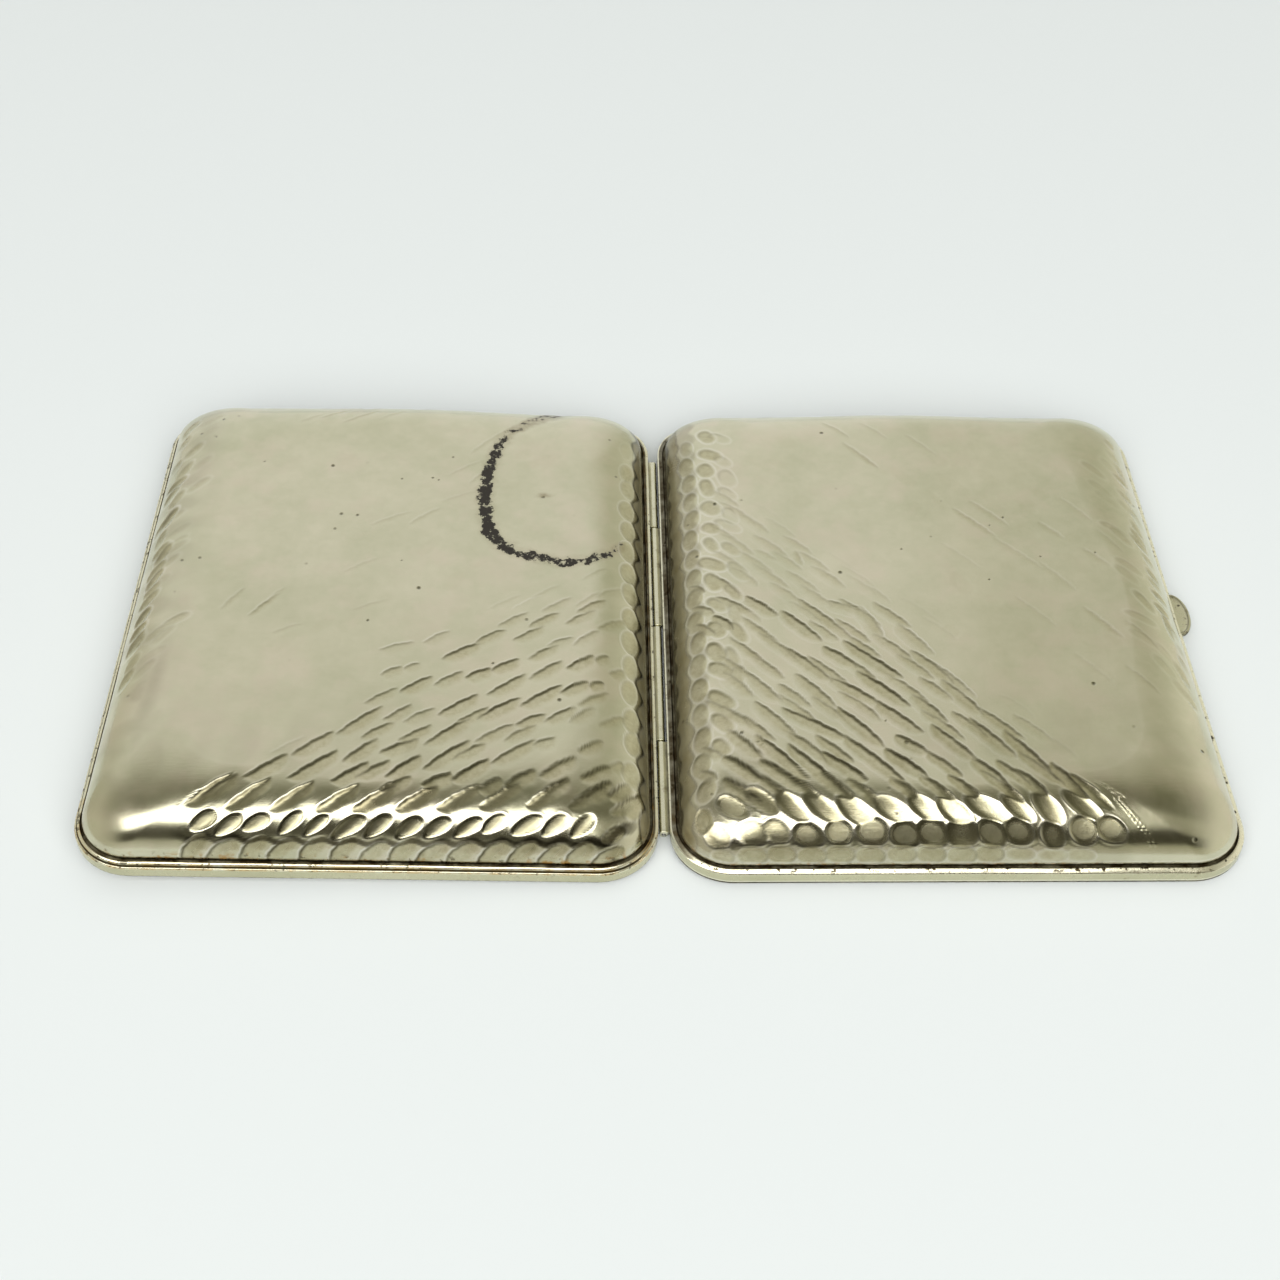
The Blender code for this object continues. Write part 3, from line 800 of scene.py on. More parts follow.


# Walls of single marks, as measured: from (X, y) to (X, y) in millimetres,
# with how deep each looks, out of ten.
LEFT_STROKES = (
    (50.1, 34.3, 55.2, 37.6, 8), (44.3, 27.4, 48.5, 30.6, 8), (49.1, 29.0, 52.9, 31.8, 6),
    (53.6, 30.7, 57.0, 32.7, 9), (57.4, 32.3, 61.2, 34.6, 8), (57.0, 27.4, 62.1, 31.5, 8),
    (62.9, 30.8, 67.3, 34.4, 7), (68.5, 33.0, 72.2, 35.8, 9), (72.7, 34.9, 74.7, 36.1, 6),
    (74.7, 32.6, 77.0, 34.1, 7), (50.1, 23.2, 55.2, 27.2, 9), (42.4, 21.8, 45.9, 24.8, 6),
    (45.3, 21.5, 49.4, 24.2, 5), (55.8, 22.8, 61.4, 26.8, 10), (61.9, 25.4, 67.4, 29.5, 10),
    (67.5, 28.0, 71.3, 30.5, 10), (71.7, 29.7, 73.8, 30.7, 8), (48.6, 17.4, 54.4, 22.6, 9),
    (61.2, 21.5, 65.1, 23.7, 8), (65.3, 22.3, 69.5, 25.2, 7), (69.0, 22.4, 72.4, 25.5, 6),
    (55.6, 18.3, 60.6, 21.7, 6), (48.7, 12.8, 54.4, 18.1, 9), (58.1, 14.3, 63.7, 18.6, 7),
    (64.0, 17.8, 66.9, 19.1, 6), (70.4, 16.9, 73.7, 19.4, 7), (43.5, 11.3, 47.7, 15.2, 9),
    (42.4, 15.6, 47.3, 18.3, 9), (52.7, 11.0, 57.3, 14.8, 9), (48.6, 10.1, 52.2, 12.3, 9),
    (74.7, 14.7, 76.7, 16.2, 6), (71.4, 9.3, 73.9, 11.2, 8), (74.7, 9.4, 77.4, 12.4, 8),
    (56.3, 9.7, 59.2, 11.7, 8), (60.2, 10.4, 63.9, 13.1, 8), (65.4, 37.5, 69.1, 39.3, 4),
    (69.3, 37.8, 72.9, 41.0, 4), (40.7, 35.7, 45.4, 37.4, 3), (47.0, 37.4, 50.5, 40.0, 3),
    (41.2, 30.6, 44.0, 32.3, 5), (44.5, 31.8, 46.6, 33.1, 4), (30.0, 15.0, 35.0, 19.2, 8),
    (36.0, 19.0, 41.6, 24.2, 8), (24.0, 11.0, 29.0, 15.0, 8), (30.2, 11.0, 36.0, 15.8, 9),
    (37.2, 14.0, 41.4, 18.2, 8), (36.2, 10.2, 40.6, 13.6, 9), (18.4, 8.2, 22.6, 11.4, 7),
    (65.0, 12.0, 69.6, 15.6, 7),
)
RIGHT_STROKES = (
    (4.1, 52.7, 6.6, 50.4, 7), (7.5, 54.0, 11.9, 49.1, 6), (12.9, 48.5, 17.3, 44.5, 9),
    (18.4, 45.2, 23.7, 39.1, 9), (21.1, 47.8, 28.5, 39.4, 6), (4.4, 47.8, 7.7, 45.6, 8),
    (7.8, 44.7, 10.7, 41.8, 9), (8.3, 48.7, 13.5, 45.2, 6), (4.8, 43.8, 7.7, 40.9, 7),
    (18.1, 37.7, 24.5, 31.1, 7), (24.1, 37.7, 28.5, 33.8, 8), (27.4, 38.7, 34.9, 31.4, 10),
    (28.8, 32.5, 35.4, 25.7, 10), (24.5, 31.5, 30.9, 26.4, 8), (30.9, 26.4, 36.7, 20.5, 9),
    (19.6, 32.1, 24.7, 25.7, 6), (25.2, 25.1, 30.9, 18.0, 9), (17.2, 25.1, 25.6, 19.6, 9),
    (17.0, 30.1, 21.1, 25.8, 5), (12.3, 32.5, 17.0, 26.8, 5), (8.8, 32.8, 12.7, 27.8, 5),
    (13.4, 26.4, 18.7, 19.9, 6), (6.1, 27.8, 11.9, 22.5, 6), (8.8, 21.5, 13.2, 16.1, 8),
    (13.0, 19.9, 19.5, 12.1, 8), (17.6, 18.0, 24.9, 9.3, 9), (22.3, 16.7, 27.9, 11.7, 10),
    (25.8, 19.6, 33.0, 11.4, 8), (31.3, 17.0, 36.4, 12.0, 10), (13.4, 15.5, 19.1, 10.2, 9),
    (8.0, 16.8, 13.0, 12.1, 10), (8.1, 12.7, 12.7, 8.7, 9), (30.4, 45.9, 33.3, 39.1, 4),
    (25.4, 47.4, 30.4, 45.2, 4), (36.4, 27.7, 40.6, 22.4, 7), (33.1, 19.9, 37.1, 16.7, 8),
    (4.8, 19.3, 7.8, 16.8, 5), (4.4, 15.2, 6.9, 13.0, 6), (37.4, 36.4, 42.6, 30.2, 6),
    (41.2, 30.4, 46.0, 24.0, 7), (38.6, 21.6, 43.8, 15.4, 8), (44.2, 22.6, 49.6, 15.8, 7),
    (49.0, 20.4, 54.4, 12.6, 8), (43.6, 15.2, 47.6, 10.6, 8), (54.6, 14.4, 58.6, 8.8, 7),
    (49.4, 13.2, 53.0, 9.0, 7), (40.2, 34.0, 45.4, 27.4, 4), (36.0, 42.2, 40.4, 36.0, 4),
)


def marks_left(h):
    r = h.rng
    j = lambda s: float(r.normal(0, s))
    # the shoulder: three rows of slanting hollows, from the seam upwards
    for i in range(16):
        X = 16.6 + 4.08 * i + j(0.15)
        h.mark(X, h.near_y(X, 18 + j(1)), 50 + j(5), 3.0, 3.0 + j(0.2), 0.19 + j(0.02),
               wall=0.75, curl=1.15, ridge=0.035, painted_shade=(120, 0.45))
    for i in range(16):
        X = 18.4 + 4.08 * i + j(0.32)
        if X < 79:
            h.mark(X, h.near_y(X, 42.5 + j(1.8)), 40 + j(6), 2.6 + j(0.25), 1.38 + j(0.14),
                   0.235 + j(0.03), kind="dish", ridge=0.024, flat=0.45,
                   painted_shade=(145, 1.0), taper=0.42)
    for i in range(11):
        X = 18.6 + 5.9 * i + j(0.35)
        h.stroke(X - 2.6, h.near_y(X, 60 + j(1)), X + 2.6, h.near_y(X, 82 + j(1)),
                 0.17 + j(0.02), 0.8, 0.35, 2.6, 0.024, shade=0.45)
    # the hammered field
    for x1, y1, x2, y2, s in LEFT_STROKES:
        near = max(0.0, 1 - (y1 + y2 - 16) / 26)
        h.stroke(x1, y1, x2, y2, (0.095 + 0.075 * near) * s / 10, 0.50 + 0.34 * near,
                 0.34 + j(0.08), 3.0, 0.022, shade=0.55)
    bx = [0, 17, 24, 30, 35, 40, 45, 55, 62, 72, 82]
    by = [0, 8, 13, 16, 19, 25, 33, 39, 45, 48, 53]
    for row in range(15):
        for col in range(14):
            X = 14.0 + 5.1 * col + 2.2 * (row % 2) + j(0.3)
            yy = 10.0 + 3.3 * row + j(0.3)
            if not 15 < X < 76 or not h.clear(X, yy, 3.0):
                continue
            s = float(smooth01((np.interp(X, bx, by) - yy + 2.0) / 4.0))
            near = max(0.0, 1 - (yy - 8) / 13)
            h.stroke(X - 2.1, yy - 1.5, X + 2.1, yy + 1.5, (0.065 + 0.08 * near) * s,
                     0.45 + 0.40 * near, 0.3 + j(0.1), 2.6, 0.014, shade=0.45)
    # the scalloped hinge side
    for i in range(17):
        y = 9.4 + 5.15 * i + j(0.3)
        s = 1.0 if y < 72 else max(0.25, 1 - (y - 72) / 20)
        h.mark(78.15 + j(0.12), y, 90 + j(8), 2.45 + j(0.08), 2.1 + j(0.06),
               (0.095 + j(0.012)) * s, kind="dish", ridge=0.026 * s, flat=0.40,
               painted_shade=(150, 0.28 * s))
    # small slanting nicks up the outer side
    for i in range(24):
        y = 31 + 2.6 * i + j(0.7)
        if y < 95:
            s = 0.45 + 0.55 * math.sin(math.pi * min(max((y - 30) / 55, 0), 1))
            s *= r.uniform(0.35, 1.25)
            h.mark(4.2 + j(0.6), y, 52 + j(9), 2.7 + j(0.3), 1.05, 0.19 * s,
                   kind="dish", flat=0.35, ridge=0.03 * s, painted_shade=(150, 0.6 * s))
            if r.random() < 0.7:
                h.mark(7.4 + j(0.9), y + 1.0, 40 + j(8), 2.6, 0.9, 0.045 * s,
                       kind="cell", wall=0.6, ridge=0.010 * s, painted_shade=(120, 0.15 * s))
    # lighter strokes across the rest of the face
    for x1, y1, x2, y2, s in (
            (15.8, 44.0, 18.6, 48.4, 6), (20.4, 42.6, 24.2, 47.4, 9), (23.0, 46.2, 25.0, 48.6, 4),
            (37.0, 63.6, 42.6, 66.8, 4), (43.0, 64.0, 47.4, 68.0, 5), (52.0, 82.8, 57.0, 88.6, 5),
            (56.6, 86.0, 60.6, 90.8, 4), (48.6, 76.6, 53.6, 80.4, 4), (52.0, 74.8, 56.4, 80.0, 5),
            (26.0, 91.6, 30.6, 94.8, 6), (30.0, 90.2, 35.4, 94.2, 6), (36.0, 91.0, 40.0, 94.0, 4),
            (22.6, 90.4, 26.0, 93.0, 4), (48.0, 69.8, 53.0, 72.6, 3), (33.6, 52.4, 38.4, 55.6, 3),
            (24.4, 39.0, 28.4, 41.0, 3), (36.0, 44.0, 41.0, 46.4, 3), (56.6, 45.0, 61.0, 48.0, 3),
            (63.0, 47.6, 67.0, 50.6, 4), (69.6, 46.0, 73.4, 49.4, 5), (70.8, 52.0, 74.4, 55.0, 4)):
        h.stroke(x1, y1, x2, y2, 0.05 * s / 10, 0.36, 0.22, 1.5, 0.016 * s / 10, shade=0.3)
    for _ in range(60):
        X, y = 10 + 60 * r.random(), 36 + 58 * r.random()
        if y > np.interp(X, bx, by) + 3:
            h.mark(X, y, 42 + j(9), 1.6 + 2.4 * r.random(), 0.9 + 0.9 * r.random(),
                   0.005 + 0.008 * r.random(), kind="cell", wall=0.8)
    # the far edge
    for i in range(12):
        X = 13 + 5.0 * i + j(0.6)
        h.mark(X, 96.4 + j(0.5), 52 + j(8), 2.7, 1.4, 0.06 + j(0.015), kind="dish",
               flat=0.3, ridge=0.008)


def marks_right(h):
    r = h.rng
    j = lambda s: float(r.normal(0, s))
    for i in range(13):
        X = 7.0 + 4.15 * i + j(0.15)
        s = 1.0 if X < 46 else 0.45
        h.mark(X, h.near_y(X, 14 + j(1)), -66 + j(5), 2.4, 2.15, (0.17 + j(0.01)) * s,
               kind="dish", ridge=0.018, flat=0.5, painted_shade=(20, 0.35 * s))
    for i in range(14):
        X = 6.6 + 4.22 * i + j(0.35)
        if X < 63:
            h.mark(X, h.near_y(X, 38.5 + j(2)), -54 + j(12), 2.5 + j(0.2), 1.75 + j(0.16),
                   0.175 + j(0.03), kind="dish", ridge=0.03, flat=0.25,
                   painted_shade=(115, 0.28), taper=-0.2)
    for i in range(13):
        X = 8.4 + 4.45 * i + j(0.25)
        if X < 61:
            h.mark(X, h.near_y(X, 62 + j(2)), -48 + j(6), 3.7 + j(0.3), 1.45 + j(0.12), 0.20 + j(0.03),
                   kind="dish", ridge=0.03, flat=0.5, painted_shade=(150, 0.6), taper=-0.2)
    for x1, y1, x2, y2, s in RIGHT_STROKES:
        near = max(0.0, 1 - (y1 + y2 - 18) / 30)
        h.stroke(x1, y1, x2, y2, (0.125 + 0.08 * near) * s / 10, 0.66 + 0.35 * near,
                 0.45 + j(0.08), 2.5, 0.028, shade=0.50, back=0.35)
    bx = [0, 8, 20, 33, 38, 42, 45, 50, 55, 60, 64, 70]
    by = [86, 78, 64, 50, 46, 40, 33, 26, 18, 11, 6, 3]
    for row in range(19):
        for col in range(14):
            X = 10.5 + 4.5 * col + 2.25 * (row % 2) + j(0.35)
            yy = 10.0 + 3.9 * row + j(0.35)
            if X > 64 or not h.clear(X, yy, 2.7):
                continue
            s = float(smooth01((np.interp(X, bx, by) - yy + 3.0) / 6.0))
            s *= 1.0 if yy < 45 else 0.6
            near = max(0.0, 1 - (yy - 9) / 16)
            k = r.uniform(0.8, 1.2)
            h.stroke(X - 2.3 * k, yy + 2.4 * k, X + 2.3 * k, yy - 2.4 * k,
                     (0.062 + 0.08 * near) * s, 0.56 + 0.35 * near, 0.42 + j(0.1), 2.0,
                     0.020 * s, shade=0.42, back=0.35)
    # columns of closed cells down the hinge side
    for i in range(18):
        y = 6.2 + 4.75 * i + j(0.15)
        s = 1.0 if y < 84 else 0.5
        h.mark(4.7 + j(0.2), y, 80 + j(9), 2.45 + j(0.12), 1.7 + j(0.1),
               (0.14 + j(0.02)) * s, kind="dish", ridge=0.020, flat=0.45,
               painted_shade=(120, 0.40 * s))
        if y > 14:
            h.mark(7.6 + j(0.35), y + 2.4 + j(0.4), -60 + j(14), 2.4 + j(0.3),
                   1.35 + j(0.12), 0.085 + j(0.015), kind="cell", wall=0.8, ridge=0.020,
                   painted_shade=(110, 0.32))
        if y > 30:
            h.mark(10.8 + j(0.5), y + 0.4 + j(0.5), -58 + j(12), 2.5 + j(0.3),
                   1.25 + j(0.12), (0.055 + j(0.01)) * (1.0 if y < 62 else 0.35),
                   kind="cell", wall=0.75, ridge=0.013, painted_shade=(110, 0.25))
    # nicks up the outer side
    for i in range(23):
        y = 27 + 2.8 * i + j(0.7)
        if y < 92:
            s = max(0.2, 1 - abs(y - 56) / 44) * r.uniform(0.4, 1.25)
            h.mark(77.7 + j(0.6), y, -54 + j(9), 2.7 + j(0.3), 0.85, 0.11 * s,
                   kind="dish", flat=0.3, ridge=0.016 * s, painted_shade=(110, 0.30 * s))
            if r.random() < 0.7:
                h.mark(74.0 + j(1.2), y + 1.0, -48 + j(8), 2.8, 0.9, 0.05 * s,
                       kind="cell", wall=0.6, ridge=0.012 * s, painted_shade=(110, 0.2 * s))
    for x1, y1, x2, y2, s in (
            (65.0, 46.0, 69.6, 39.6, 7), (71.0, 43.0, 75.0, 37.6, 5), (48.0, 69.0, 53.6, 62.6, 7),
            (51.0, 71.0, 56.0, 65.4, 6), (53.6, 62.0, 60.0, 55.0, 4), (60.0, 56.0, 64.4, 50.0, 4),
            (61.6, 66.0, 64.8, 62.2, 6), (67.6, 59.6, 71.0, 55.6, 5), (28.4, 92.6, 32.4, 88.0, 6),
            (31.6, 86.0, 36.6, 79.6, 8), (35.0, 91.8, 39.0, 87.4, 4), (42.4, 88.0, 46.6, 83.0, 4),
            (66.0, 72.0, 70.0, 66.4, 4), (70.6, 64.0, 73.6, 59.0, 4), (45.0, 60.4, 50.0, 55.0, 3),
            (55.0, 48.0, 60.0, 42.0, 3), (62.0, 36.0, 66.6, 30.0, 3), (69.0, 33.6, 72.8, 28.4, 4),
            (21.4, 58.8, 22.2, 55.6, 8), (15.0, 59.4, 18.0, 57.0, 6), (29.0, 53.4, 33.0, 49.0, 4)):
        h.stroke(x1, y1, x2, y2, 0.055 * s / 10, 0.38, 0.22, 1.5, 0.018 * s / 10, shade=0.3)
    for _ in range(70):
        X, y = 16 + 56 * r.random(), 14 + 80 * r.random()
        if y > np.interp(X, bx, by) + 3:
            h.mark(X, y, -50 + j(9), 1.6 + 2.6 * r.random(), 0.9 + 0.9 * r.random(),
                   0.005 + 0.009 * r.random(), kind="cell", wall=0.8)
    for i in range(12):
        X = 12 + 5.1 * i + j(0.6)
        h.mark(X, 96.4 + j(0.5), -52 + j(8), 2.7, 1.4, 0.055 + j(0.015), kind="dish",
               flat=0.3, ridge=0.008)


def wobble(x, y, seed, wave, count=26):
    """A smooth random field of about unit size."""
    r = np.random.default_rng(seed)
    out = np.zeros_like(x)
    for _ in range(count):
        k = 2 * math.pi / (wave * r.uniform(0.75, 1.7))
        a, p = r.uniform(0, 2 * math.pi), r.uniform(0, 2 * math.pi)
        out += np.sin(k * (x * math.cos(a) + y * math.sin(a)) + p)
    return out / math.sqrt(count / 2)


def polyline_distance(x, y, line):
    """Distance to a polyline and the place along it, from 0 to 1."""
    line = np.asarray(line, float)
    best = np.full(len(x), 1e9)
    where = np.zeros(len(x))
    seg = np.linalg.norm(np.diff(line, axis=0), axis=1)
    total, run = seg.sum(), 0.0
    for k in range(len(line) - 1):
        a, d = line[k], line[k + 1] - line[k]
        t = np.clip(((x - a[0]) * d[0] + (y - a[1]) * d[1]) / (d @ d), 0, 1)
        dist = np.hypot(x - a[0] - t * d[0], y - a[1] - t * d[1])
        near = dist < best
        best = np.where(near, dist, best)
        where = np.where(near, (run + t * seg[k]) / total, where)
        run += seg[k]
    return best, where


RING = ((68.5, 98.2), (66.5, 96.5), (62.5, 92.6), (58.5, 88.5), (56.4, 84), (55.3, 79),
        (54.7, 73), (54.9, 68), (55.6, 63), (57.3, 60), (60, 58), (64, 56.6),
        (68, 55.6), (72, 56.6), (75, 58.6), (77.2, 61.5))
PITS = {
    "left": ((32, 66, .35), (34.6, 65.7, .3), (41, 75, .2), (46, 75.5, .22), (47, 75, .18),
             (49, 81, .2), (12, 92, .2), (9.5, 91.3, .28), (9, 86, .24), (18, 79, .15),
             (8.5, 54.5, .28), (42.5, 55, .14), (38.4, 41.6, .24), (57.6, 33.4, .22),
             (64.2, 71.5, .3)),
    "right": ((38, 59, .2), (55.5, 67, .24), (53, 65, .18), (60, 57.5, .2), (69, 58.5, .2),
              (10.5, 20.4, .34), (12.6, 18.6, .2), (13.2, 18.0, .2), (51, 52, .2),
              (31.5, 22.4, .16), (46, 71, .12)),
}


def make_cover(half, mats):
    seed = 11 if half == "left" else 23
    counts = (280, 340, 60)
    pts, n, rings, table = sheet_points(counts, 60, 0.0)
    quads = np.concatenate([ring_faces(k * n, (k + 1) * n, n) for k in range(rings - 1)]
                           + [grid_faces(table)])
    nrm = normals_of(pts, quads)
    small = (counts[0] // 2, counts[1] // 2, counts[2] // 2)
    ipts, m, irings, itable = sheet_points(small, 15, SHELL_T)
    iquads = np.concatenate([ring_faces(k * m, (k + 1) * m, m) for k in range(irings - 1)]
                            + [grid_faces(itable)])
    inrm = normals_of(ipts, iquads)

    hammer = Hammer(half, pts, nrm, seed)
    (marks_left if half == "left" else marks_right)(hammer)
    depth, lip, painted_shade = hammer.cut(pts)
    idepth = hammer.cut(ipts + inrm * SHELL_T)[0]
    Y = pts[:, 1]
    rise = pts[:, 2] - SHELL_Z
    soft = smooth01(rise / 1.2)
    wave = 0.020 * wobble(pts[:, 0], Y, seed + 1, 15.0) + 0.005 * wobble(
        pts[:, 0], Y, seed + 2, 5.0)
    move = -depth + lip - 0.05 + wave * 0.6
    move *= 0.30 + 0.70 * soft
    pts = pts + nrm * np.minimum(move, 0.0)[:, None]
    ipts = ipts - inrm * (0.5 * idepth)[:, None]

    # skirt: outer rings going down from the first, then round to the inside;
    # its lower edge waves a little where the hammer has reached the seam
    verts, faces = [pts], [quads]
    count = len(pts)
    first = pts[:n]
    previous = 0
    edge0 = stations(SHELL_U, RIM_R - SHELL_U, counts)[:, :2]
    size = 1.6 if half == "right" else 0.6
    lift = size * (0.055 * np.sin((edge0[:, 0] + edge0[:, 1]) * 2 * math.pi / 4.15)
                   + 0.03 * wobble(edge0[:, 0], edge0[:, 1], seed + 4, 3.5) + 0.05)
    for du, z in ((0.0, 2.62), (0.05, 2.52), (0.17, 2.47)):
        ring = stations(SHELL_U + du, RIM_R - SHELL_U - du, counts)[:, :2]
        ring = ring + (first[:, :2] - edge0)
        verts.append(np.c_[ring, z + np.clip(lift, 0, 0.14)])
        faces.append(ring_faces(count, previous, n))
        previous = count
        count += n
    outer_bottom = previous
    inner_start = count
    verts.append(ipts)
    faces.append(iquads[:, ::-1] + inner_start)
    count += len(ipts)
    iprev = inner_start
    for du, z in ((0.6, 2.64), (0.52, 2.55)):
        ring = stations(SHELL_U + du, RIM_R - SHELL_U - du, small)[:, :2]
        verts.append(np.c_[ring, np.full(m, z)])
        faces.append(ring_faces(iprev, count, m))
        iprev = count
        count += m
    k = np.arange(m)
    o0, o1, o2 = outer_bottom + 2 * k, outer_bottom + 2 * k + 1, outer_bottom + (2 * k + 2) % n
    i0, i1 = iprev + k, iprev + (k + 1) % m
    tris = np.concatenate([np.stack([o1, o0, i0], 1), np.stack([o1, i0, i1], 1),
                           np.stack([o2, o1, i1], 1)])
    all_pts = np.concatenate(verts)
    quads_all = np.concatenate(faces)
    face_list = [tuple(f) for f in quads_all.tolist()] + [tuple(f) for f in tris.tolist()]
    # the inside is gilt
    inside = np.zeros(len(all_pts), bool)
    inside[inner_start:] = True
    fm = np.r_[inside[quads_all].all(1), np.zeros(len(tris), bool)].astype(np.int32)

    total = len(all_pts)
    XX = X_OUT - all_pts[:, 0] if half == "left" else all_pts[:, 0] - AXIS_TO_RIM
    YY, ZZ = all_pts[:, 1], all_pts[:, 2]
    rise = ZZ - SHELL_Z

    def outer(values, fill=0.0):
        out = np.full(total, fill)
        out[:len(pts)] = values[:len(pts)]
        return out

    seam = smooth01(1 - rise / (1.5 if half == "left" else 0.8)) * smooth01((16 - YY) / 3)
    seam = np.maximum(seam * (0.9 if half == "left" else 0.55),
                      0.6 * smooth01(1 - rise / 0.6))
    cav = outer(depth)
    dirt_and_shade = 0.9 * smooth01(1 - rise / 0.40)
    dirt_and_shade = np.maximum(dirt_and_shade, 0.06 * smooth01(cav / 0.16))
    # brown tarnish and painted shade down the hinge side valley, scalloped by the hollows there, edged
    # by a dark wavy line of grime and painted shade
    hinge_x = all_pts[:, 0] - AXIS_TO_RIM - SHELL_U
    pitch, phase = (5.15, 9.4) if half == "left" else (4.75, 6.2)
    lobe = np.abs(np.sin(math.pi * (YY - phase) / pitch)) ** 1.5
    if half == "left":
        edge = hinge_x - 1.0 - 0.75 * lobe + 0.10 * wobble(XX, YY, seed + 21, 4.0)
        tarnish_and_shade = 0.95 * smooth01(-edge / 0.25)
        grime_and_shade = 0.95 * np.exp(-(edge / 0.22) ** 2)
        grime_and_shade = np.maximum(grime_and_shade, smooth01((0.02 + 0.15 * lobe - hinge_x) / 0.15))
        valley = 0.14 * smooth01((3.0 - hinge_x) / 1.6)
    else:
        edge = hinge_x - 2.0 - 0.5 * lobe + 0.15 * wobble(XX, YY, seed + 21, 4.0)
        tarnish_and_shade = 0.90 * smooth01(-edge / 0.5)
        grime_and_shade = 0.45 * np.exp(-((edge + 0.2) / 0.18) ** 2)
        grime_and_shade = np.maximum(grime_and_shade, smooth01((0.45 + 0.35 * lobe - hinge_x) / 0.25))
        valley = 0.40 * smooth01((4.6 + 0.9 * lobe - hinge_x) / 1.0)
    dirt_and_shade = np.maximum(dirt_and_shade, valley)
    inner_side = smooth01((97 - YY) / 4) * smooth01((YY - 2.0) / 3)
    tarnish_and_shade, grime_and_shade = tarnish_and_shade * inner_side, grime_and_shade * inner_side
    outer_x = X_OUT - SHELL_U - all_pts[:, 0]
    # darker low on the outer side, towards the near edge
    dirt_and_shade = np.maximum(dirt_and_shade, 0.34 * smooth01(1 - outer_x / 2.6) * smooth01((60 - YY) / 50)
                      * smooth01(1 - (rise - 0.6) / 3.0))
    # painted shadow: the dark furrow between the two lowest rows, with painted shade low on the
    # shoulder
    span = smooth01((XX - 14) / 4) * smooth01((80 - XX) / 3) * smooth01((8 - YY) / 2)
    if half == "left":
        wavy = rise - 2.85 - 0.22 * np.cos((XX - 19.3) * 2 * math.pi / 4.08)
        black = 0.98 * span * smooth01((0.46 - np.abs(wavy)) / 0.22)
        dirt_and_shade = np.maximum(dirt_and_shade, 0.20 * span * smooth01((2.7 - rise) / 0.8))
        # painted shade inside the hollows of the upper rows
        leaf = smooth01((rise - 4.9) / 0.4) * smooth01((11 - YY) / 3)
        dirt_and_shade = np.maximum(dirt_and_shade, 0.45 * leaf * smooth01((cav - 0.03) / 0.08))
    else:
        span = smooth01((XX - 3) / 3) * smooth01((66 - XX) / 4) * smooth01((8 - YY) / 2)
        wavy = rise - 3.0 + 0.5 * np.abs(np.cos((XX - 6.6) * math.pi / 4.22))
        black = 0.60 * span * smooth01((0.22 - np.abs(wavy)) / 0.18)
        dirt_and_shade = np.maximum(dirt_and_shade, 0.30 * span * smooth01((3.0 - rise) / 0.6))
    # darker towards the near edge, and on the left half towards its outer side
    dirt_and_shade = np.maximum(dirt_and_shade, 0.13 * smooth01((34 - YY) / 22)
                      * (0.6 + 0.4 * np.clip(wobble(XX, YY, seed + 12, 7.0), -1, 1)))
    side_x = outer_x if half == "left" else 99 + 0 * outer_x
    dirt_and_shade = np.maximum(dirt_and_shade, smooth01((12.0 - side_x) / 7.5)
                      * (0.19 + 0.09 * np.clip(wobble(XX, YY, seed + 13, 6.0), -1, 1)))
    cloud = wobble(XX, YY, seed + 9, 9.0)
    grey = smooth01((cloud + 0.2) / 1.4)
    if half == "left":
        far = smooth01(1 - np.abs(XX - 33) / 17) * smooth01((YY - 91) / 5)
        # painted shade: a grey band down the left outer shoulder
        shade = smooth01(1 - np.abs(XX - 8.0 - 0.06 * (YY - 24)) / 2.6) * smooth01(
            1 - np.abs(YY - 27) / 19)
        dirt_and_shade = np.maximum(dirt_and_shade, 0.30 * shade)
    else:
        far = smooth01(1 - np.abs(XX - 62) / 22) * smooth01((YY - 93) / 4)
    dirt_and_shade = np.maximum(dirt_and_shade, 0.20 * far * grey)
    near = smooth01((5.3 - rise) / 0.6) * smooth01((17 - YY) / 3) * smooth01(rise - 0.2)
    peen = outer(near * smooth01((outer(depth) - 0.09) / 0.09))
    pits = np.zeros(total)
    for px, py, size in PITS[half]:
        d = np.hypot(XX - px, YY - py)
        pits = np.maximum(pits, smooth01(1.25 - d / size))
    ring = np.zeros(total)
    stain = np.zeros(total)
    knurl = np.zeros(total)
    if half == "left":
        jag = 0.35 * wobble(XX, YY, 5, 3.0) + 0.25 * wobble(XX, YY, 6, 1.3)
        dist, along = polyline_distance(XX, YY, RING)
        width = np.interp(along, [0, .08, .2, .35, .6, .75, .93, 1],
                          [1.3, 1.2, 0.8, 1.05, 1.15, 1.0, 0.9, 0.5])
        amount = np.interp(along, [0, .1, .2, .3, .45, .65, .8, .93, 1],
                           [0.42, 0.40, 0.45, 0.78, 0.92, 0.90, 0.78, 0.70, 0.25])
        ring = amount * smooth01(1.45 - np.abs(dist + 0.45 * jag) / width)
        stain = 0.75 * smooth01(1.5 - np.abs(dist + 0.4 * jag) / (1.25 * width)) * np.interp(
            along, [0, .15, .3, 1], [1.0, 0.8, 0.35, 0.35])
        d2 = np.hypot((XX - 64.3) * 0.8, (YY - 72) * 1.5) + 0.4 * jag
        stain = np.maximum(stain, 0.55 * smooth01(1 - d2 / 1.5))
        marks = (((18.1, 8.8), (15.5, 6.2)),)
    else:
        marks = (((60.2, 11), (63.4, 8.6)), ((62.4, 8.4), (67.2, 2.2)))
    for line in marks:
        for off in (-0.32, 0.32):
            moved = [(a + off, b) for a, b in line]
            dist, along = polyline_distance(XX, YY, moved)
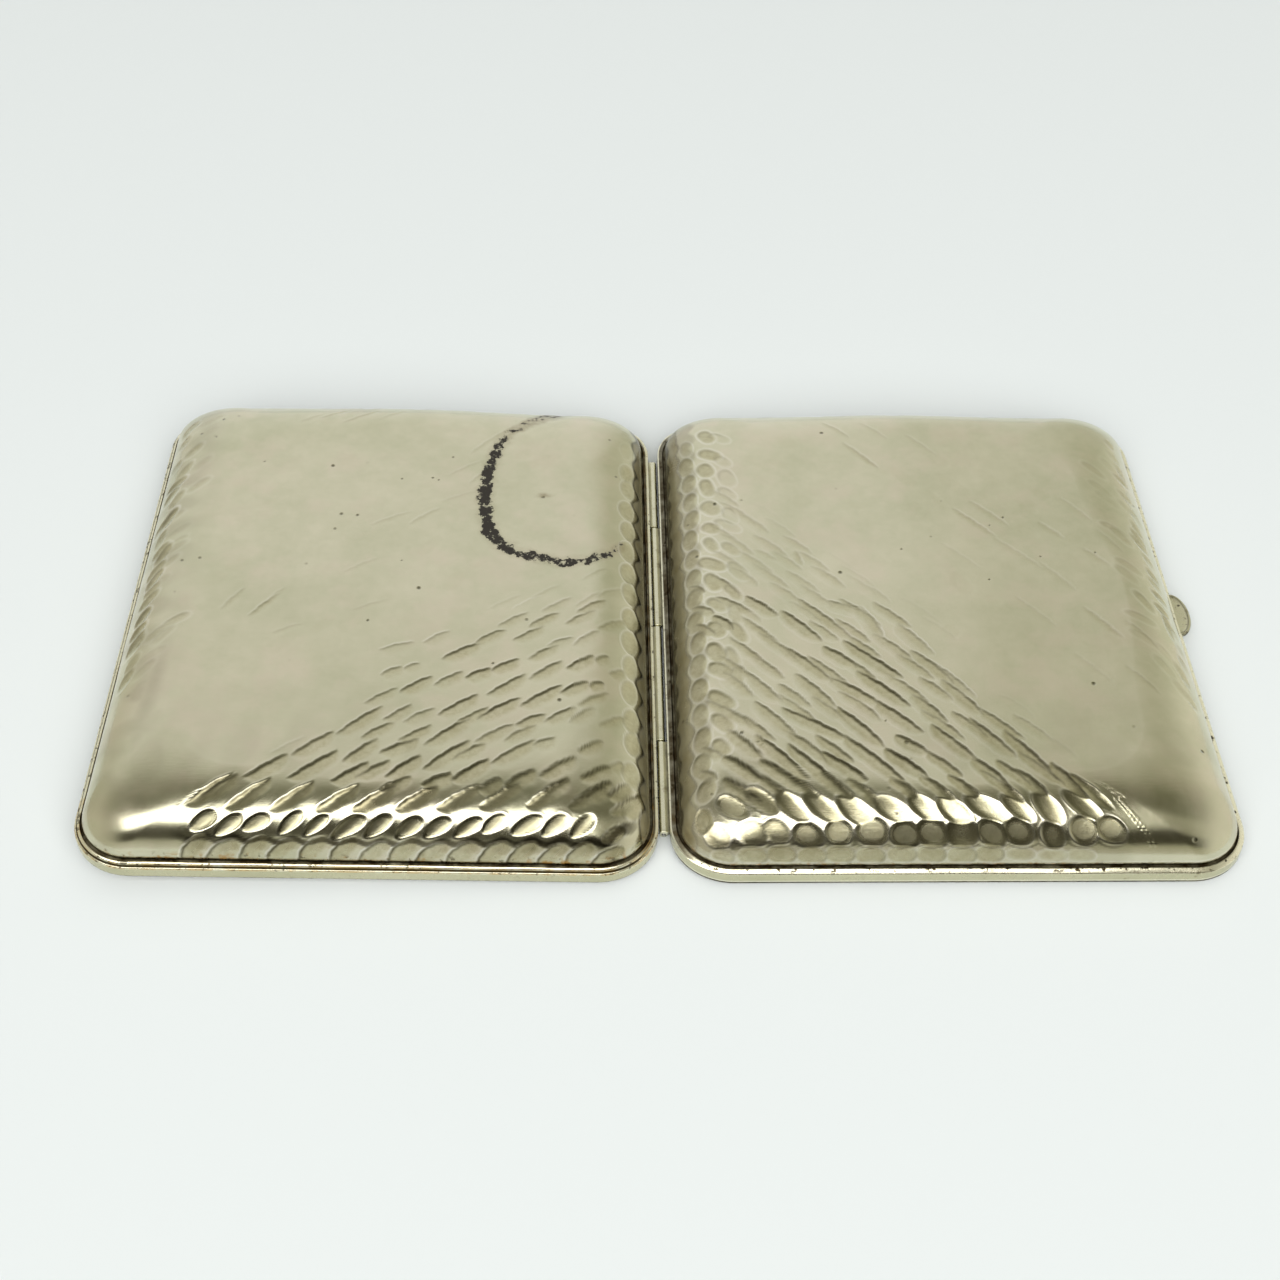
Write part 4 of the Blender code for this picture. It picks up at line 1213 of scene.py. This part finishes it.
            length = math.hypot(line[1][0] - line[0][0], line[1][1] - line[0][1])
            beads = 0.5 + 0.5 * np.sin(along * length * 2 * math.pi / 0.62)
            knurl = np.maximum(knurl, smooth01(1 - dist / 0.3) * beads
                               * (along > 0.005) * (along < 0.995))
    # ridges paler, partly wear and partly painted highlight; on the right half also a paler band just
    # above the near seam
    wear_and_sheen = outer(lip / 0.03)
    if half == "right":
        wear_and_sheen = np.maximum(wear_and_sheen, outer(smooth01(1 - np.abs(rise - 0.32) / 0.3)
                                      * smooth01((14 - YY) / 4)))
    attrs = {"dirt_and_shade": dirt_and_shade, "seam": seam, "ring": outer(ring), "stain": outer(stain),
             "peen": peen, "knurl": outer(knurl),
             "tarnish_and_shade": outer(tarnish_and_shade),
             "painted_shade": outer(np.maximum.reduce([outer(painted_shade), outer(black), outer(grime_and_shade)])),
             "pits": outer(pits), "wear_and_sheen": wear_and_sheen,
             "floor": outer(smooth01(outer(depth) / 0.07))}
    obj = make(half + "_cover_hammered", half, all_pts, face_list, mats,
               face_mats=fm, attrs=attrs)
    # a flat map for both faces, the outer one larger
    uv = obj.data.uv_layers.new(name="OFBake")
    flat = np.zeros((total, 2))
    slope = np.clip(8.9 - ZZ, 0, None)
    cx, cy = X_MID, RIM_L / 2
    v = np.stack([all_pts[:, 0] - cx, YY - cy], 1)
    grow = 1 + slope * 0.62 / np.maximum(np.max(np.abs(v) / (40.0, 50.0), 1) * 42, 1)
    flat = v * grow[:, None]
    flat[:inner_start] = flat[:inner_start] * 0.0088 * 0.93 + (0.43, 0.5)
    flat[inner_start:] = flat[inner_start:] * 0.0026 + (0.89, 0.2)
    loops = np.empty(len(obj.data.loops), np.int32)
    obj.data.loops.foreach_get("vertex_index", loops)
    uv.data.foreach_set("uv", flat[loops].astype(np.float32).ravel())
    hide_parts(half + "_cover")
    return obj


# --------------------------------------------------------------------------
# The rim frames
# --------------------------------------------------------------------------
LEFT_RIM = (
    (2.4, 0.03), (2.37, 0.0), (0.50, 0.0), (0.30, 0.02), (0.14, 0.08), (0.04, 0.19),
    (0.0, 0.34), (0.0, 0.8), (0.0, 1.2), (0.0, 1.60), (0.01, 1.72), (0.03, 1.80),
    (0.07, 1.845), (0.14, 1.88), (0.21, 1.91), (0.245, 1.90), (0.27, 1.84), (0.31, 1.79),
    (0.36, 1.80), (0.40, 1.95), (0.42, 2.10), (0.435, 2.24), (0.47, 2.30), (0.56, 2.35),
    (0.68, 2.41), (0.77, 2.45), (0.82, 2.43), (0.85, 2.36), (0.88, 2.22), (0.95, 2.05),
    (1.12, 2.03), (1.35, 2.20), (1.6, 2.36), (2.0, 2.38), (2.37, 2.38), (2.4, 2.35),
)
RIGHT_RIM = (
    (2.4, 0.03), (2.37, 0.0), (0.50, 0.0), (0.30, 0.02), (0.14, 0.08), (0.04, 0.19),
    (0.0, 0.34), (0.0, 0.46), (0.0, 0.52), (0.0, 0.70), (0.0, 0.78), (0.0, 1.3),
    (0.0, 1.78), (0.008, 1.92), (0.03, 2.00),
    (0.08, 2.055), (0.16, 2.105), (0.28, 2.17), (0.42, 2.24), (0.56, 2.305),
    (0.69, 2.36), (0.78, 2.385), (0.84, 2.375), (0.885, 2.33), (0.92, 2.24),
    (0.98, 2.14), (1.12, 2.12), (1.35, 2.20), (1.6, 2.36), (2.0, 2.38),
    (2.37, 2.38), (2.4, 2.35),
)


def make_frame(half, mat):
    profile = LEFT_RIM if half == "left" else RIGHT_RIM
    counts = (150, 190, 26)
    rings = [stations(u, max(RIM_R - u, 0.5), counts) for u, _ in profile]
    n, k = len(rings[0]), len(profile)
    layers = {"dirt_and_shade": [], "gold": [], "wear_and_sheen": [], "pitted": []}
    pts = []
    seed = 31 if half == "left" else 37
    for (u, z), ring in zip(profile, rings):
        x, y = ring[:, 0], ring[:, 1]
        # small knocks, the land more than the side
        bend = 0.008 + 0.012 * (u > 0.4) * (u < 1.0)
        dz = bend * wobble(x, y, seed, 9.0) * (z > 2.0)
        top = z > (1.65 if half == "left" else 1.95)
        hinge = smooth01((3.6 - (x - AXIS_TO_RIM)) / 2.4)
        if top and 0.02 < u < (0.45 if half == "left" else 0.30):
            # the hinge side is rubbed flatter
            level = 2.20 + 0.18 * min(u, 0.2)
            dz = dz + (level - z) * hinge
        pts.append(np.c_[x, y, z + dz])
        d = np.full(n, 0.10)
        wear_and_sheen, gold, pitted = 0.0, 0.0, 0.0
        # dark in the channel under the shell
        if u > 0.84 and top:
            d[:] = 1.0
        elif half == "left":
            # the groove is dark, except on the hinge side
            if 0.25 < u < 0.43 and top:
                d = 1.0 - 0.97 * hinge
                gold = 0.25
            elif top:
                # painted shade down the hinge side; the top paler, partly wear and partly painted
                # highlight
                d = 0.02 + 0.95 * hinge * (u > 0.5)
                wear_and_sheen = 0.9
                gold = 0.9 if (u < 0.1 or 0.43 < u < 0.5 or u > 0.7) else 0.2
                pitted = 0.7
        elif top:
            # painted shade down the hinge side; the top paler, partly wear and partly painted
            # highlight
            d = 0.02 + 0.93 * hinge * (u > 0.25)
            wear_and_sheen = 1.0
            pitted = 1.0 if u > 0.3 else 0.4
            gold = 0.10
        # painted contact shadow along the bottom edge of the side face
        if u < 0.55 and z < (0.47 if half == "right" else 0.20):
            d = np.full(n, 1.0)
        # painted reflection of the floor: a light line low on the right side face
        if half == "right" and 0.5 < z < 0.72:
            wear_and_sheen = 1.0
        layers["dirt_and_shade"].append(d)
        layers["gold"].append(np.full(n, gold) * (0.35 + 0.65 * (y < 12)))
        layers["wear_and_sheen"].append(np.full(n, wear_and_sheen))
        layers["pitted"].append(np.full(n, pitted))
    verts = np.concatenate(pts)
    faces = []
    for i in range(k):
        faces += ring_faces(i * n, ((i + 1) % k) * n, n)[:, ::-1].tolist()
    faces = [tuple(f) for f in faces]
    obj = make(half + "_frame_drawn", half, verts, faces, [mat], sharp=50,
               attrs={key: np.concatenate(v) for key, v in layers.items()})
    if half == "right":
        cut_slot(obj)
    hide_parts(half + "_frame")
    return obj


def cut_slot(obj):
    """The slot that the thumb-piece slides in, cut with a rounded block."""
    w, lo, hi = 4.6 + 0.2, 1.08, 2.12
    x0, x1 = X_OUT - 3.0, X_OUT + 1.0
    prof = []
    for cy, cz, start in ((CATCH_Y + w - .3, hi - .3, 0), (CATCH_Y - w + .3, hi - .3, 90),
                          (CATCH_Y - w + .3, lo + .3, 180), (CATCH_Y + w - .3, lo + .3, 270)):
        for i in range(5):
            a = math.radians(start + 22.5 * i)
            prof.append((cy + .3 * math.cos(a), cz + .3 * math.sin(a)))
    n = len(prof)
    verts = [(x0, a, b) for a, b in prof] + [(x1, a, b) for a, b in prof]
    faces = [(i, (i + 1) % n, n + (i + 1) % n, n + i) for i in range(n)]
    faces += [tuple(range(n))[::-1], tuple(range(n, 2 * n))]
    mesh = bpy.data.meshes.new("slot_cutter")
    mesh.from_pydata(place("right", verts).tolist(), [], faces)
    bm = bmesh.new()
    bm.from_mesh(mesh)
    bmesh.ops.recalc_face_normals(bm, faces=bm.faces)
    bm.to_mesh(mesh)
    bm.free()
    cutter = bpy.data.objects.new("slot_cutter", mesh)
    bpy.context.scene.collection.objects.link(cutter)
    mod = obj.modifiers.new("slot", "BOOLEAN")
    mod.operation, mod.solver, mod.object = "DIFFERENCE", "EXACT", cutter
    apply_modifiers(obj)
    bpy.data.objects.remove(cutter)


def apply_modifiers(obj):
    bpy.context.view_layer.update()
    shape = obj.evaluated_get(bpy.context.evaluated_depsgraph_get())
    mesh = bpy.data.meshes.new_from_object(shape)
    old = obj.data
    obj.modifiers.clear()
    obj.data = mesh
    bpy.data.meshes.remove(old)


# --------------------------------------------------------------------------
# Small metal pieces
# --------------------------------------------------------------------------
def round_poly(points, radius, steps=3):
    """Rounds each corner of a closed polygon."""
    out = []
    n = len(points)
    for i in range(n):
        p, a, b = map(np.array, (points[i], points[i - 1], points[(i + 1) % n]))
        p, a, b = p.astype(float), a.astype(float), b.astype(float)
        la, lb = np.linalg.norm(a - p), np.linalg.norm(b - p)
        r = min(radius, 0.45 * la, 0.45 * lb)
        pa, pb = p + (a - p) / la * r, p + (b - p) / lb * r
        for s in range(steps + 1):
            t = s / steps
            out.append((1 - t) ** 2 * pa + 2 * t * (1 - t) * p + t * t * pb)
    return np.array(out)


def sweep(name, half, section, rails, mat, body=None, dirt_and_shade=None, caps=True,
          sharp=55, wear_and_sheen=0.0):
    """section: (m, 2) closed polygon; rails: function that gives the (m, 3)
    points of each station. Used for prisms with softened ends."""
    rows = [rails(i) for i in range(section)]
    m, k = len(rows[0]), len(rows)
    verts = np.concatenate(rows)
    faces = []
    for i in range(k - 1):
        for a in range(m):
            b = (a + 1) % m
            faces.append((i * m + a, i * m + b, (i + 1) * m + b, (i + 1) * m + a))
    if caps:
        faces.append(tuple(range(m))[::-1])
        faces.append(tuple((k - 1) * m + a for a in range(m)))
    attrs = {"dirt_and_shade": np.zeros(len(verts)) if dirt_and_shade is None else dirt_and_shade(verts),
             "gold": np.zeros(len(verts)), "edge": np.zeros(len(verts)),
             "wear_and_sheen": np.full(len(verts), wear_and_sheen)}
    obj = make(name, half, verts, faces, [mat], body, attrs=attrs, sharp=sharp)
    fix_normals(obj)
    return obj


def fix_normals(obj):
    bm = bmesh.new()
    bm.from_mesh(obj.data)
    bmesh.ops.recalc_face_normals(bm, faces=bm.faces)
    bm.to_mesh(obj.data)
    bm.free()


def prism(name, half, polygon, low, high, along, mat, body=None, bevel=0.08,
          corner=0.08, steps=1, dirt_and_shade=None, sharp=50):
    """A rounded polygon drawn across one axis, extruded with chamfered ends.
    along "z": polygon is (x, y). "y": (x, z). "x": (y, z)."""
    base = round_poly(polygon, corner) if corner else np.array(polygon, float)
    middle = base.mean(0)
    nxt, prv = np.roll(base, -1, 0), np.roll(base, 1, 0)
    tangent = nxt - prv
    tangent /= np.maximum(np.linalg.norm(tangent, axis=1, keepdims=True), 1e-9)
    area = 0.5 * np.sum(base[:, 0] * nxt[:, 1] - nxt[:, 0] * base[:, 1])
    inward = np.stack([-tangent[:, 1], tangent[:, 0]], 1) * (1 if area > 0 else -1)
    order = {"z": (0, 1, 2), "y": (0, 2, 1), "x": (2, 0, 1)}[along]

    def row(shift, level):
        p = base + inward * shift
        full = np.c_[p, np.full(len(p), level)]
        out = np.empty_like(full)
        for src, dst in enumerate({"z": (0, 1, 2), "y": (0, 2, 1), "x": (1, 2, 0)}[along]):
            out[:, dst] = full[:, src]
        return out

    b = min(bevel, (high - low) * 0.4)
    levels = [(b, low), (b * 0.3, low + b * 0.3), (0.0, low + b)]
    for i in range(1, steps):
        levels.append((0.0, low + b + (high - low - 2 * b) * i / steps))
    levels += [(0.0, high - b), (b * 0.3, high - b * 0.3), (b, high)]
    return sweep(name, half, len(levels), lambda i: row(*levels[i]), mat, body,
                 dirt_and_shade=dirt_and_shade, sharp=sharp)


def make_hinge(frame_mat, steel_mat):
    spans = ((74.65, 91.6), (51.15, 74.35), (26.65, 50.85), (9.0, 26.35))
    for number, (lo, hi) in enumerate(spans, 1):
        half = "left" if number % 2 else "right"
        # rolled from the rim: a tube with a leaf that reaches its own frame
        sec = []
        R = 0.62
        for i in range(25):
            a = math.radians(62 + 298 * i / 24 * 0.80)
            c, s = math.cos(a), math.sin(a)
            # the top is worn flat
            k = (abs(c) ** 4 + abs(s) ** 4) ** -0.25 if s > 0 else 1.0
            k = min(k, 1.14)
            sec.append((R * k * c, min(R * k * s, R) - HALF_GAP))
        leaf = [(0.42, -0.50), (0.93, -0.10), (0.93, 0.34), (0.55, 0.36)]
        section = np.array(sec + leaf)

        def row(i, lo=lo, hi=hi, section=section, number=number):
            taper = (0.10, 0.03, 0.0)
            stations_y = [lo, lo + 0.04, lo + 0.14] + list(
                np.linspace(lo + 0.6, hi - 0.6, 12)) + [hi - 0.14, hi - 0.04, hi]
            y = stations_y[i]
            k = 1.0 - (taper[i] if i < 3 else taper[len(stations_y) - 1 - i]
                       if i >= len(stations_y) - 3 else 0.0)
            c = np.array([0.15, -0.1])
            p = (section - c) * k + c
            wob = 0.012 * math.sin(y * 1.7 + number) * (3 <= i < len(stations_y) - 3)
            return np.c_[p[:, 0] + wob, np.full(len(p), y), p[:, 1]]

        name = "hinge_knuckle_%d_rolled" % number
        # the upper part of the leaf and tube towards its own frame is darker
        obj = sweep(name, half, 18, row, frame_mat,
                    dirt_and_shade=lambda v: 0.05 + 0.90 * smooth01((v[:, 0] - 0.50) / 0.15)
                    * (v[:, 2] > -0.2), wear_and_sheen=0.7)
        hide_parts("hinge_knuckle_%d" % number)
    # the pin, with domed ends
    r = 0.34

    def pin(i):
        ys = [8.8, 8.83, 8.92, 9.1, 30, 50, 70, 91.5, 91.68, 91.77, 91.8]
        rs = [0.35, 0.65, 0.9, 1, 1, 1, 1, 1, 0.9, 0.65, 0.35]
        a = np.linspace(0, 2 * math.pi, 24, endpoint=False)
        return np.c_[r * rs[i] * np.cos(a), np.full(24, ys[i]),
                     r * rs[i] * np.sin(a) - HALF_GAP]

    obj = sweep("hinge_pin_wire", "right", 11, pin, steel_mat)
    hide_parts("hinge_pin")


def make_thumb(mat):
    """A flat slide with a dished half-oval end and a window for the tongue."""
    half_w, out, z0, z1 = 4.6, 2.3, 1.25, 1.95
    outer = [(X_OUT - 5.1, CATCH_Y - half_w + 0.3), (X_OUT - 5.1 + 0.3, CATCH_Y - half_w)]
    for i in range(41):
        a = math.radians(-90 + 180 * i / 40)
        outer.append((X_OUT + out * math.cos(a), CATCH_Y + half_w * math.sin(a)))
    outer += [(X_OUT - 5.1 + 0.3, CATCH_Y + half_w), (X_OUT - 5.1, CATCH_Y + half_w - 0.3)]
    outer = np.array(outer)
    m = len(outer)
    nxt, prv = np.roll(outer, -1, 0), np.roll(outer, 1, 0)
    tan = nxt - prv
    tan /= np.linalg.norm(tan, axis=1, keepdims=True)
    inward = np.stack([-tan[:, 1], tan[:, 0]], 1)
    rows = []
    for shift, z in ((0.26, z0), (0.10, z0 + 0.03), (0.0, z0 + 0.16), (0.0, z1 - 0.22),
                     (0.05, z1 - 0.09), (0.16, z1 - 0.01), (0.30, z1),
                     (0.42, z1 - 0.03), (0.60, z1 - 0.10), (0.9, z1 - 0.14)):
        p = outer + inward * shift
        zz = np.full(m, z)
        if shift > 0.3 and z > z0 + 0.2:
            # dished outside the rim only
            dish = smooth01((p[:, 0] - X_OUT + 0.2) / 0.5)
            zz = z1 - (z1 - z) * dish
        rows.append(np.c_[p, zz])
    verts = np.concatenate(rows)
    faces = []
    for i in range(len(rows) - 1):
        for a in range(m):
            b = (a + 1) % m
            faces.append((i * m + a, i * m + b, (i + 1) * m + b, (i + 1) * m + a))
    faces.append(tuple(range(m))[::-1])
    faces.append(tuple((len(rows) - 1) * m + a for a in range(m)))
    dirt_and_shade = np.concatenate([
        np.full(m, d) for d in (0.1, 0.1, 0.3, 0.55, 0.55, 0.10, 0.05, 0.80, 0.12, 0.02)])
    dirt_and_shade = dirt_and_shade * smooth01((verts[:, 0] - X_OUT + 0.6) / 0.6)
    obj = make("thumb_piece_dished", "right", verts, faces, [mat], "thumb_piece",
               attrs={"dirt_and_shade": dirt_and_shade, "gold": np.zeros(len(verts)),
                      "wear_and_sheen": 0.1 * (verts[:, 0] > X_OUT - 0.2),
                      "pitted": 0.8 * (verts[:, 0] > X_OUT)}, sharp=60)
    fix_normals(obj)
    # the window
    wx = (X_OUT - 3.8, X_OUT - 1.9)
    poly = round_poly([(wx[0], CATCH_Y - 2.3), (wx[1], CATCH_Y - 2.3),
                       (wx[1], CATCH_Y + 2.3), (wx[0], CATCH_Y + 2.3)], 0.25, 4)
    n = len(poly)
    v = [(a, b, z0 - 0.5) for a, b in poly] + [(a, b, z1 + 0.5) for a, b in poly]
    f = [(i, (i + 1) % n, n + (i + 1) % n, n + i) for i in range(n)]
    f += [tuple(range(n))[::-1], tuple(range(n, 2 * n))]
    mesh = bpy.data.meshes.new("window_cutter")
    mesh.from_pydata(place("right", v).tolist(), [], f)
    cutter = bpy.data.objects.new("window_cutter", mesh)
    bpy.context.scene.collection.objects.link(cutter)
    mod = obj.modifiers.new("window", "BOOLEAN")
    mod.operation, mod.solver, mod.object = "DIFFERENCE", "EXACT", cutter
    apply_modifiers(obj)
    bpy.data.objects.remove(cutter)
    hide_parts("thumb_piece")


def make_catch(gilt, steel):
    # leaf spring, bowed behind the slide
    rows = []
    steps = 60
    for i in range(steps + 1):
        s = i / steps
        y = 33.0 + 38.0 * s
        bow = math.sin(math.pi * s) ** 2
        u = 3.35 + 2.05 * bow
        slope = 2.05 * math.pi * math.sin(2 * math.pi * s) / 38.0
        k = 1 / math.hypot(1, slope)
        c = np.array([X_OUT - u - 0.15, y])
        nrm = np.array([-k, -slope * k])
        end = min(s, 1 - s) * 38.0
        h = 0.5 * min(1.0, 0.55 + end / 0.8)
        sec = []
        for a, b in ((-.15, -h + .05), (-.10, -h), (.10, -h), (.15, -h + .05),
                     (.15, h - .05), (.10, h), (-.10, h), (-.15, h - .05)):
            p = c + nrm * a
            sec.append((p[0], p[1], 1.6 + b))
        rows.append(np.array(sec))
    obj = sweep("latch_spring_leaf", "right", len(rows), lambda i: rows[i], steel)
    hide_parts("latch_spring")
    # its ends stay with the frame: it is taken off its body and baked where it lies
    world = obj.matrix_world.copy()
    obj.parent = None
    obj.matrix_world = world
    del obj["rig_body"]
    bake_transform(obj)
    # keepers
    for name, end, inwards in (("spring_keeper_near", 33.0, 1), ("spring_keeper_far", 71.0, -1)):
        outer_u, inner_u = 2.7, 4.3
        back, mouth = end - inwards * 0.7, end + inwards * 2.0
        inside = end - inwards * 0.3
        keeper = [
            (X_OUT - outer_u, back), (X_OUT - inner_u, back),
            (X_OUT - inner_u, mouth), (X_OUT - inner_u + 0.3, mouth),
            (X_OUT - inner_u + 0.3, inside), (X_OUT - outer_u - 0.3, inside),
            (X_OUT - outer_u - 0.3, mouth), (X_OUT - outer_u, mouth)]
        obj = prism(name + "_staple", "right", keeper, 1.1, 2.1, "z", gilt,
                    bevel=0.05, corner=0.10)
        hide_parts(name)
    # the catch tongue of the left half
    depth = (0.62 + (X_OUT - 3.3) * math.sin(TILT)) / math.cos(TILT) + HALF_GAP
    tip = -depth
    tongue = [
        (X_OUT - 2.7, 2.1), (X_OUT - 2.7, 0.3), (X_OUT - 3.0, 0.0),
        (X_OUT - 3.0, tip + 0.2), (X_OUT - 3.15, tip), (X_OUT - 3.45, tip),
        (X_OUT - 4.0, -2.64), (X_OUT - 4.0, -2.45), (X_OUT - 3.6, -2.45),
        (X_OUT - 3.6, 2.1)]
    obj = prism("catch_tongue_blade", "left", tongue, CATCH_Y - 1.9, CATCH_Y + 1.9, "y",
                gilt, bevel=0.03, corner=0.08)
    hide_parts("catch_tongue")


def make_lips(gilt):
    """Strips inside the right frame that reach into the left one."""
    lo, hi = -0.77, 0.9
    inner, outer = 3.2, 2.7

    def strip(name, p0, p1, inward):
        """A strip from p0 to p1 (plan), thick towards inward, with a rolled
        lower edge and eased ends."""
        p0, p1, inward = map(lambda q: np.array(q, float), (p0, p1, inward))
        length = np.linalg.norm(p1 - p0)
        d = (p1 - p0) / length
        # section: (t, z) with t towards the inside of the case
        sec = round_poly([(0.0, hi), (0.0, lo + 0.12), (0.10, lo), (0.40, lo),
                          (0.5, lo + 0.12), (0.5, hi)], 0.12, 3)
        count = max(6, int(length / 2.5))
        cuts = [0.0, 0.05, 0.16, 0.4] + list(np.linspace(1.0, length - 1.0, count)) + [
            length - 0.4, length - 0.16, length - 0.05, length]

        def row(i):
            s = cuts[i]
            e = min(s, length - s)
            k = 0.78 + 0.22 * smooth01(e / 0.35)
            c = np.array([0.25, (lo + hi) / 2])
            q = (sec - c) * (1.0, k) + c
            bend = 0.02 * math.sin(s * 0.35) * smooth01(e / 4)
            p = p0 + d * s
            return np.c_[p[0] + inward[0] * (q[:, 0] + bend * 0),
                         p[1] + inward[1] * (q[:, 0] + bend * 0), q[:, 1]]

        obj = sweep(name + "_strip", "right", len(cuts), row, gilt)
        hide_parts(name)

    xa, xb = AXIS_TO_RIM + 11.0, X_OUT - 11.0
    strip("lip_near", (xa, outer), (xb, outer), (0, 1))
    strip("lip_far", (xa, RIM_L - outer), (xb, RIM_L - outer), (0, -1))
    xo = X_OUT - outer
    strip("lip_outer_near", (xo, 11.0), (xo, CATCH_Y - 3.6), (-1, 0))
    strip("lip_outer_far", (xo, CATCH_Y + 3.6), (xo, RIM_L - 11.0), (-1, 0))


def make_bands(gilt, elastic):
    for half in ("left", "right"):
        # the ribbon: ribbed across, thicker at its bound edges
        y0, y1 = 3.5, RIM_L - 3.5
        z0, z1 = 0.35, 1.05
        nx, ny = 57, 186
        xs = np.linspace(-4.95, 4.95, nx)
        ys = np.linspace(y0, y1, ny)
        rib = 0.05 * np.cos(xs / 9.9 * 2 * math.pi * 9)
        bound = 0.06 * smooth01((np.abs(xs) - 4.2) / 0.4)
        t = 0.22 + rib + bound
        t[0] = t[-1] = 0.12
        mid = (z0 + z1) / 2
        sag = 0.03 * np.sin(np.pi * (ys - y0) / (y1 - y0))
        draw = 0.10 * np.sin(np.pi * (ys - y0) / (y1 - y0))
        pts, edge = [], []
        for side in (1, -1):
            for jy in range(ny):
                pick = 0.012 * math.sin(ys[jy] * 2 * math.pi / 1.04)
                for ix in range(nx):
                    x = xs[ix] * (1 - draw[jy] * 0.06)
                    pts.append((X_MID + x, ys[jy], mid - sag[jy] + side * (t[ix] + pick)))
                    edge.append(1.0 if abs(xs[ix]) > 4.3 else 0.0)
        S = nx * ny
        faces = []
        for jy in range(ny - 1):
            for ix in range(nx - 1):
                a = jy * nx + ix
                faces.append((a, a + 1, a + nx + 1, a + nx))
                faces.append((S + a, S + a + nx, S + a + nx + 1, S + a + 1))
            a = jy * nx
            faces.append((a, a + nx, S + a + nx, S + a))
            a = jy * nx + nx - 1
            faces.append((a + nx, a, S + a, S + a + nx))
        for ix in range(nx - 1):
            faces.append((ix + 1, ix, S + ix, S + ix + 1))
            a = (ny - 1) * nx + ix
            faces.append((a, a + 1, S + a + 1, S + a))
        obj = make(half + "_band_ribbon", half, pts, faces, [elastic],
                   attrs={"edge": edge})
        fix_normals(obj)
        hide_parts(half + "_band")
        section = [(2.7, 1.35), (7.5, 1.35), (7.5, 1.7), (3.1, 1.7), (3.1, 2.35), (2.7, 2.35)]
        for end in ("near", "far"):
            sec = section if end == "near" else [(RIM_L - a, b) for a, b in section]
            clip = prism(half + "_clip_" + end + "_plate", half, sec, X_MID - 6, X_MID + 6,
                         "x", gilt, bevel=0.06, corner=0.10)
            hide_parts(half + "_clip_" + end)


set_stage()
COVER = cover_material()
DRAWN = frame_material()
GILT = gilt_material()
STEEL = steel_material()
ELASTIC = elastic_material()

for side_name in ("left", "right"):
    make_cover(side_name, [COVER, GILT])
    make_frame(side_name, DRAWN)
make_hinge(DRAWN, STEEL)
make_thumb(DRAWN)
make_catch(GILT, STEEL)
make_lips(GILT)
make_bands(GILT, ELASTIC)
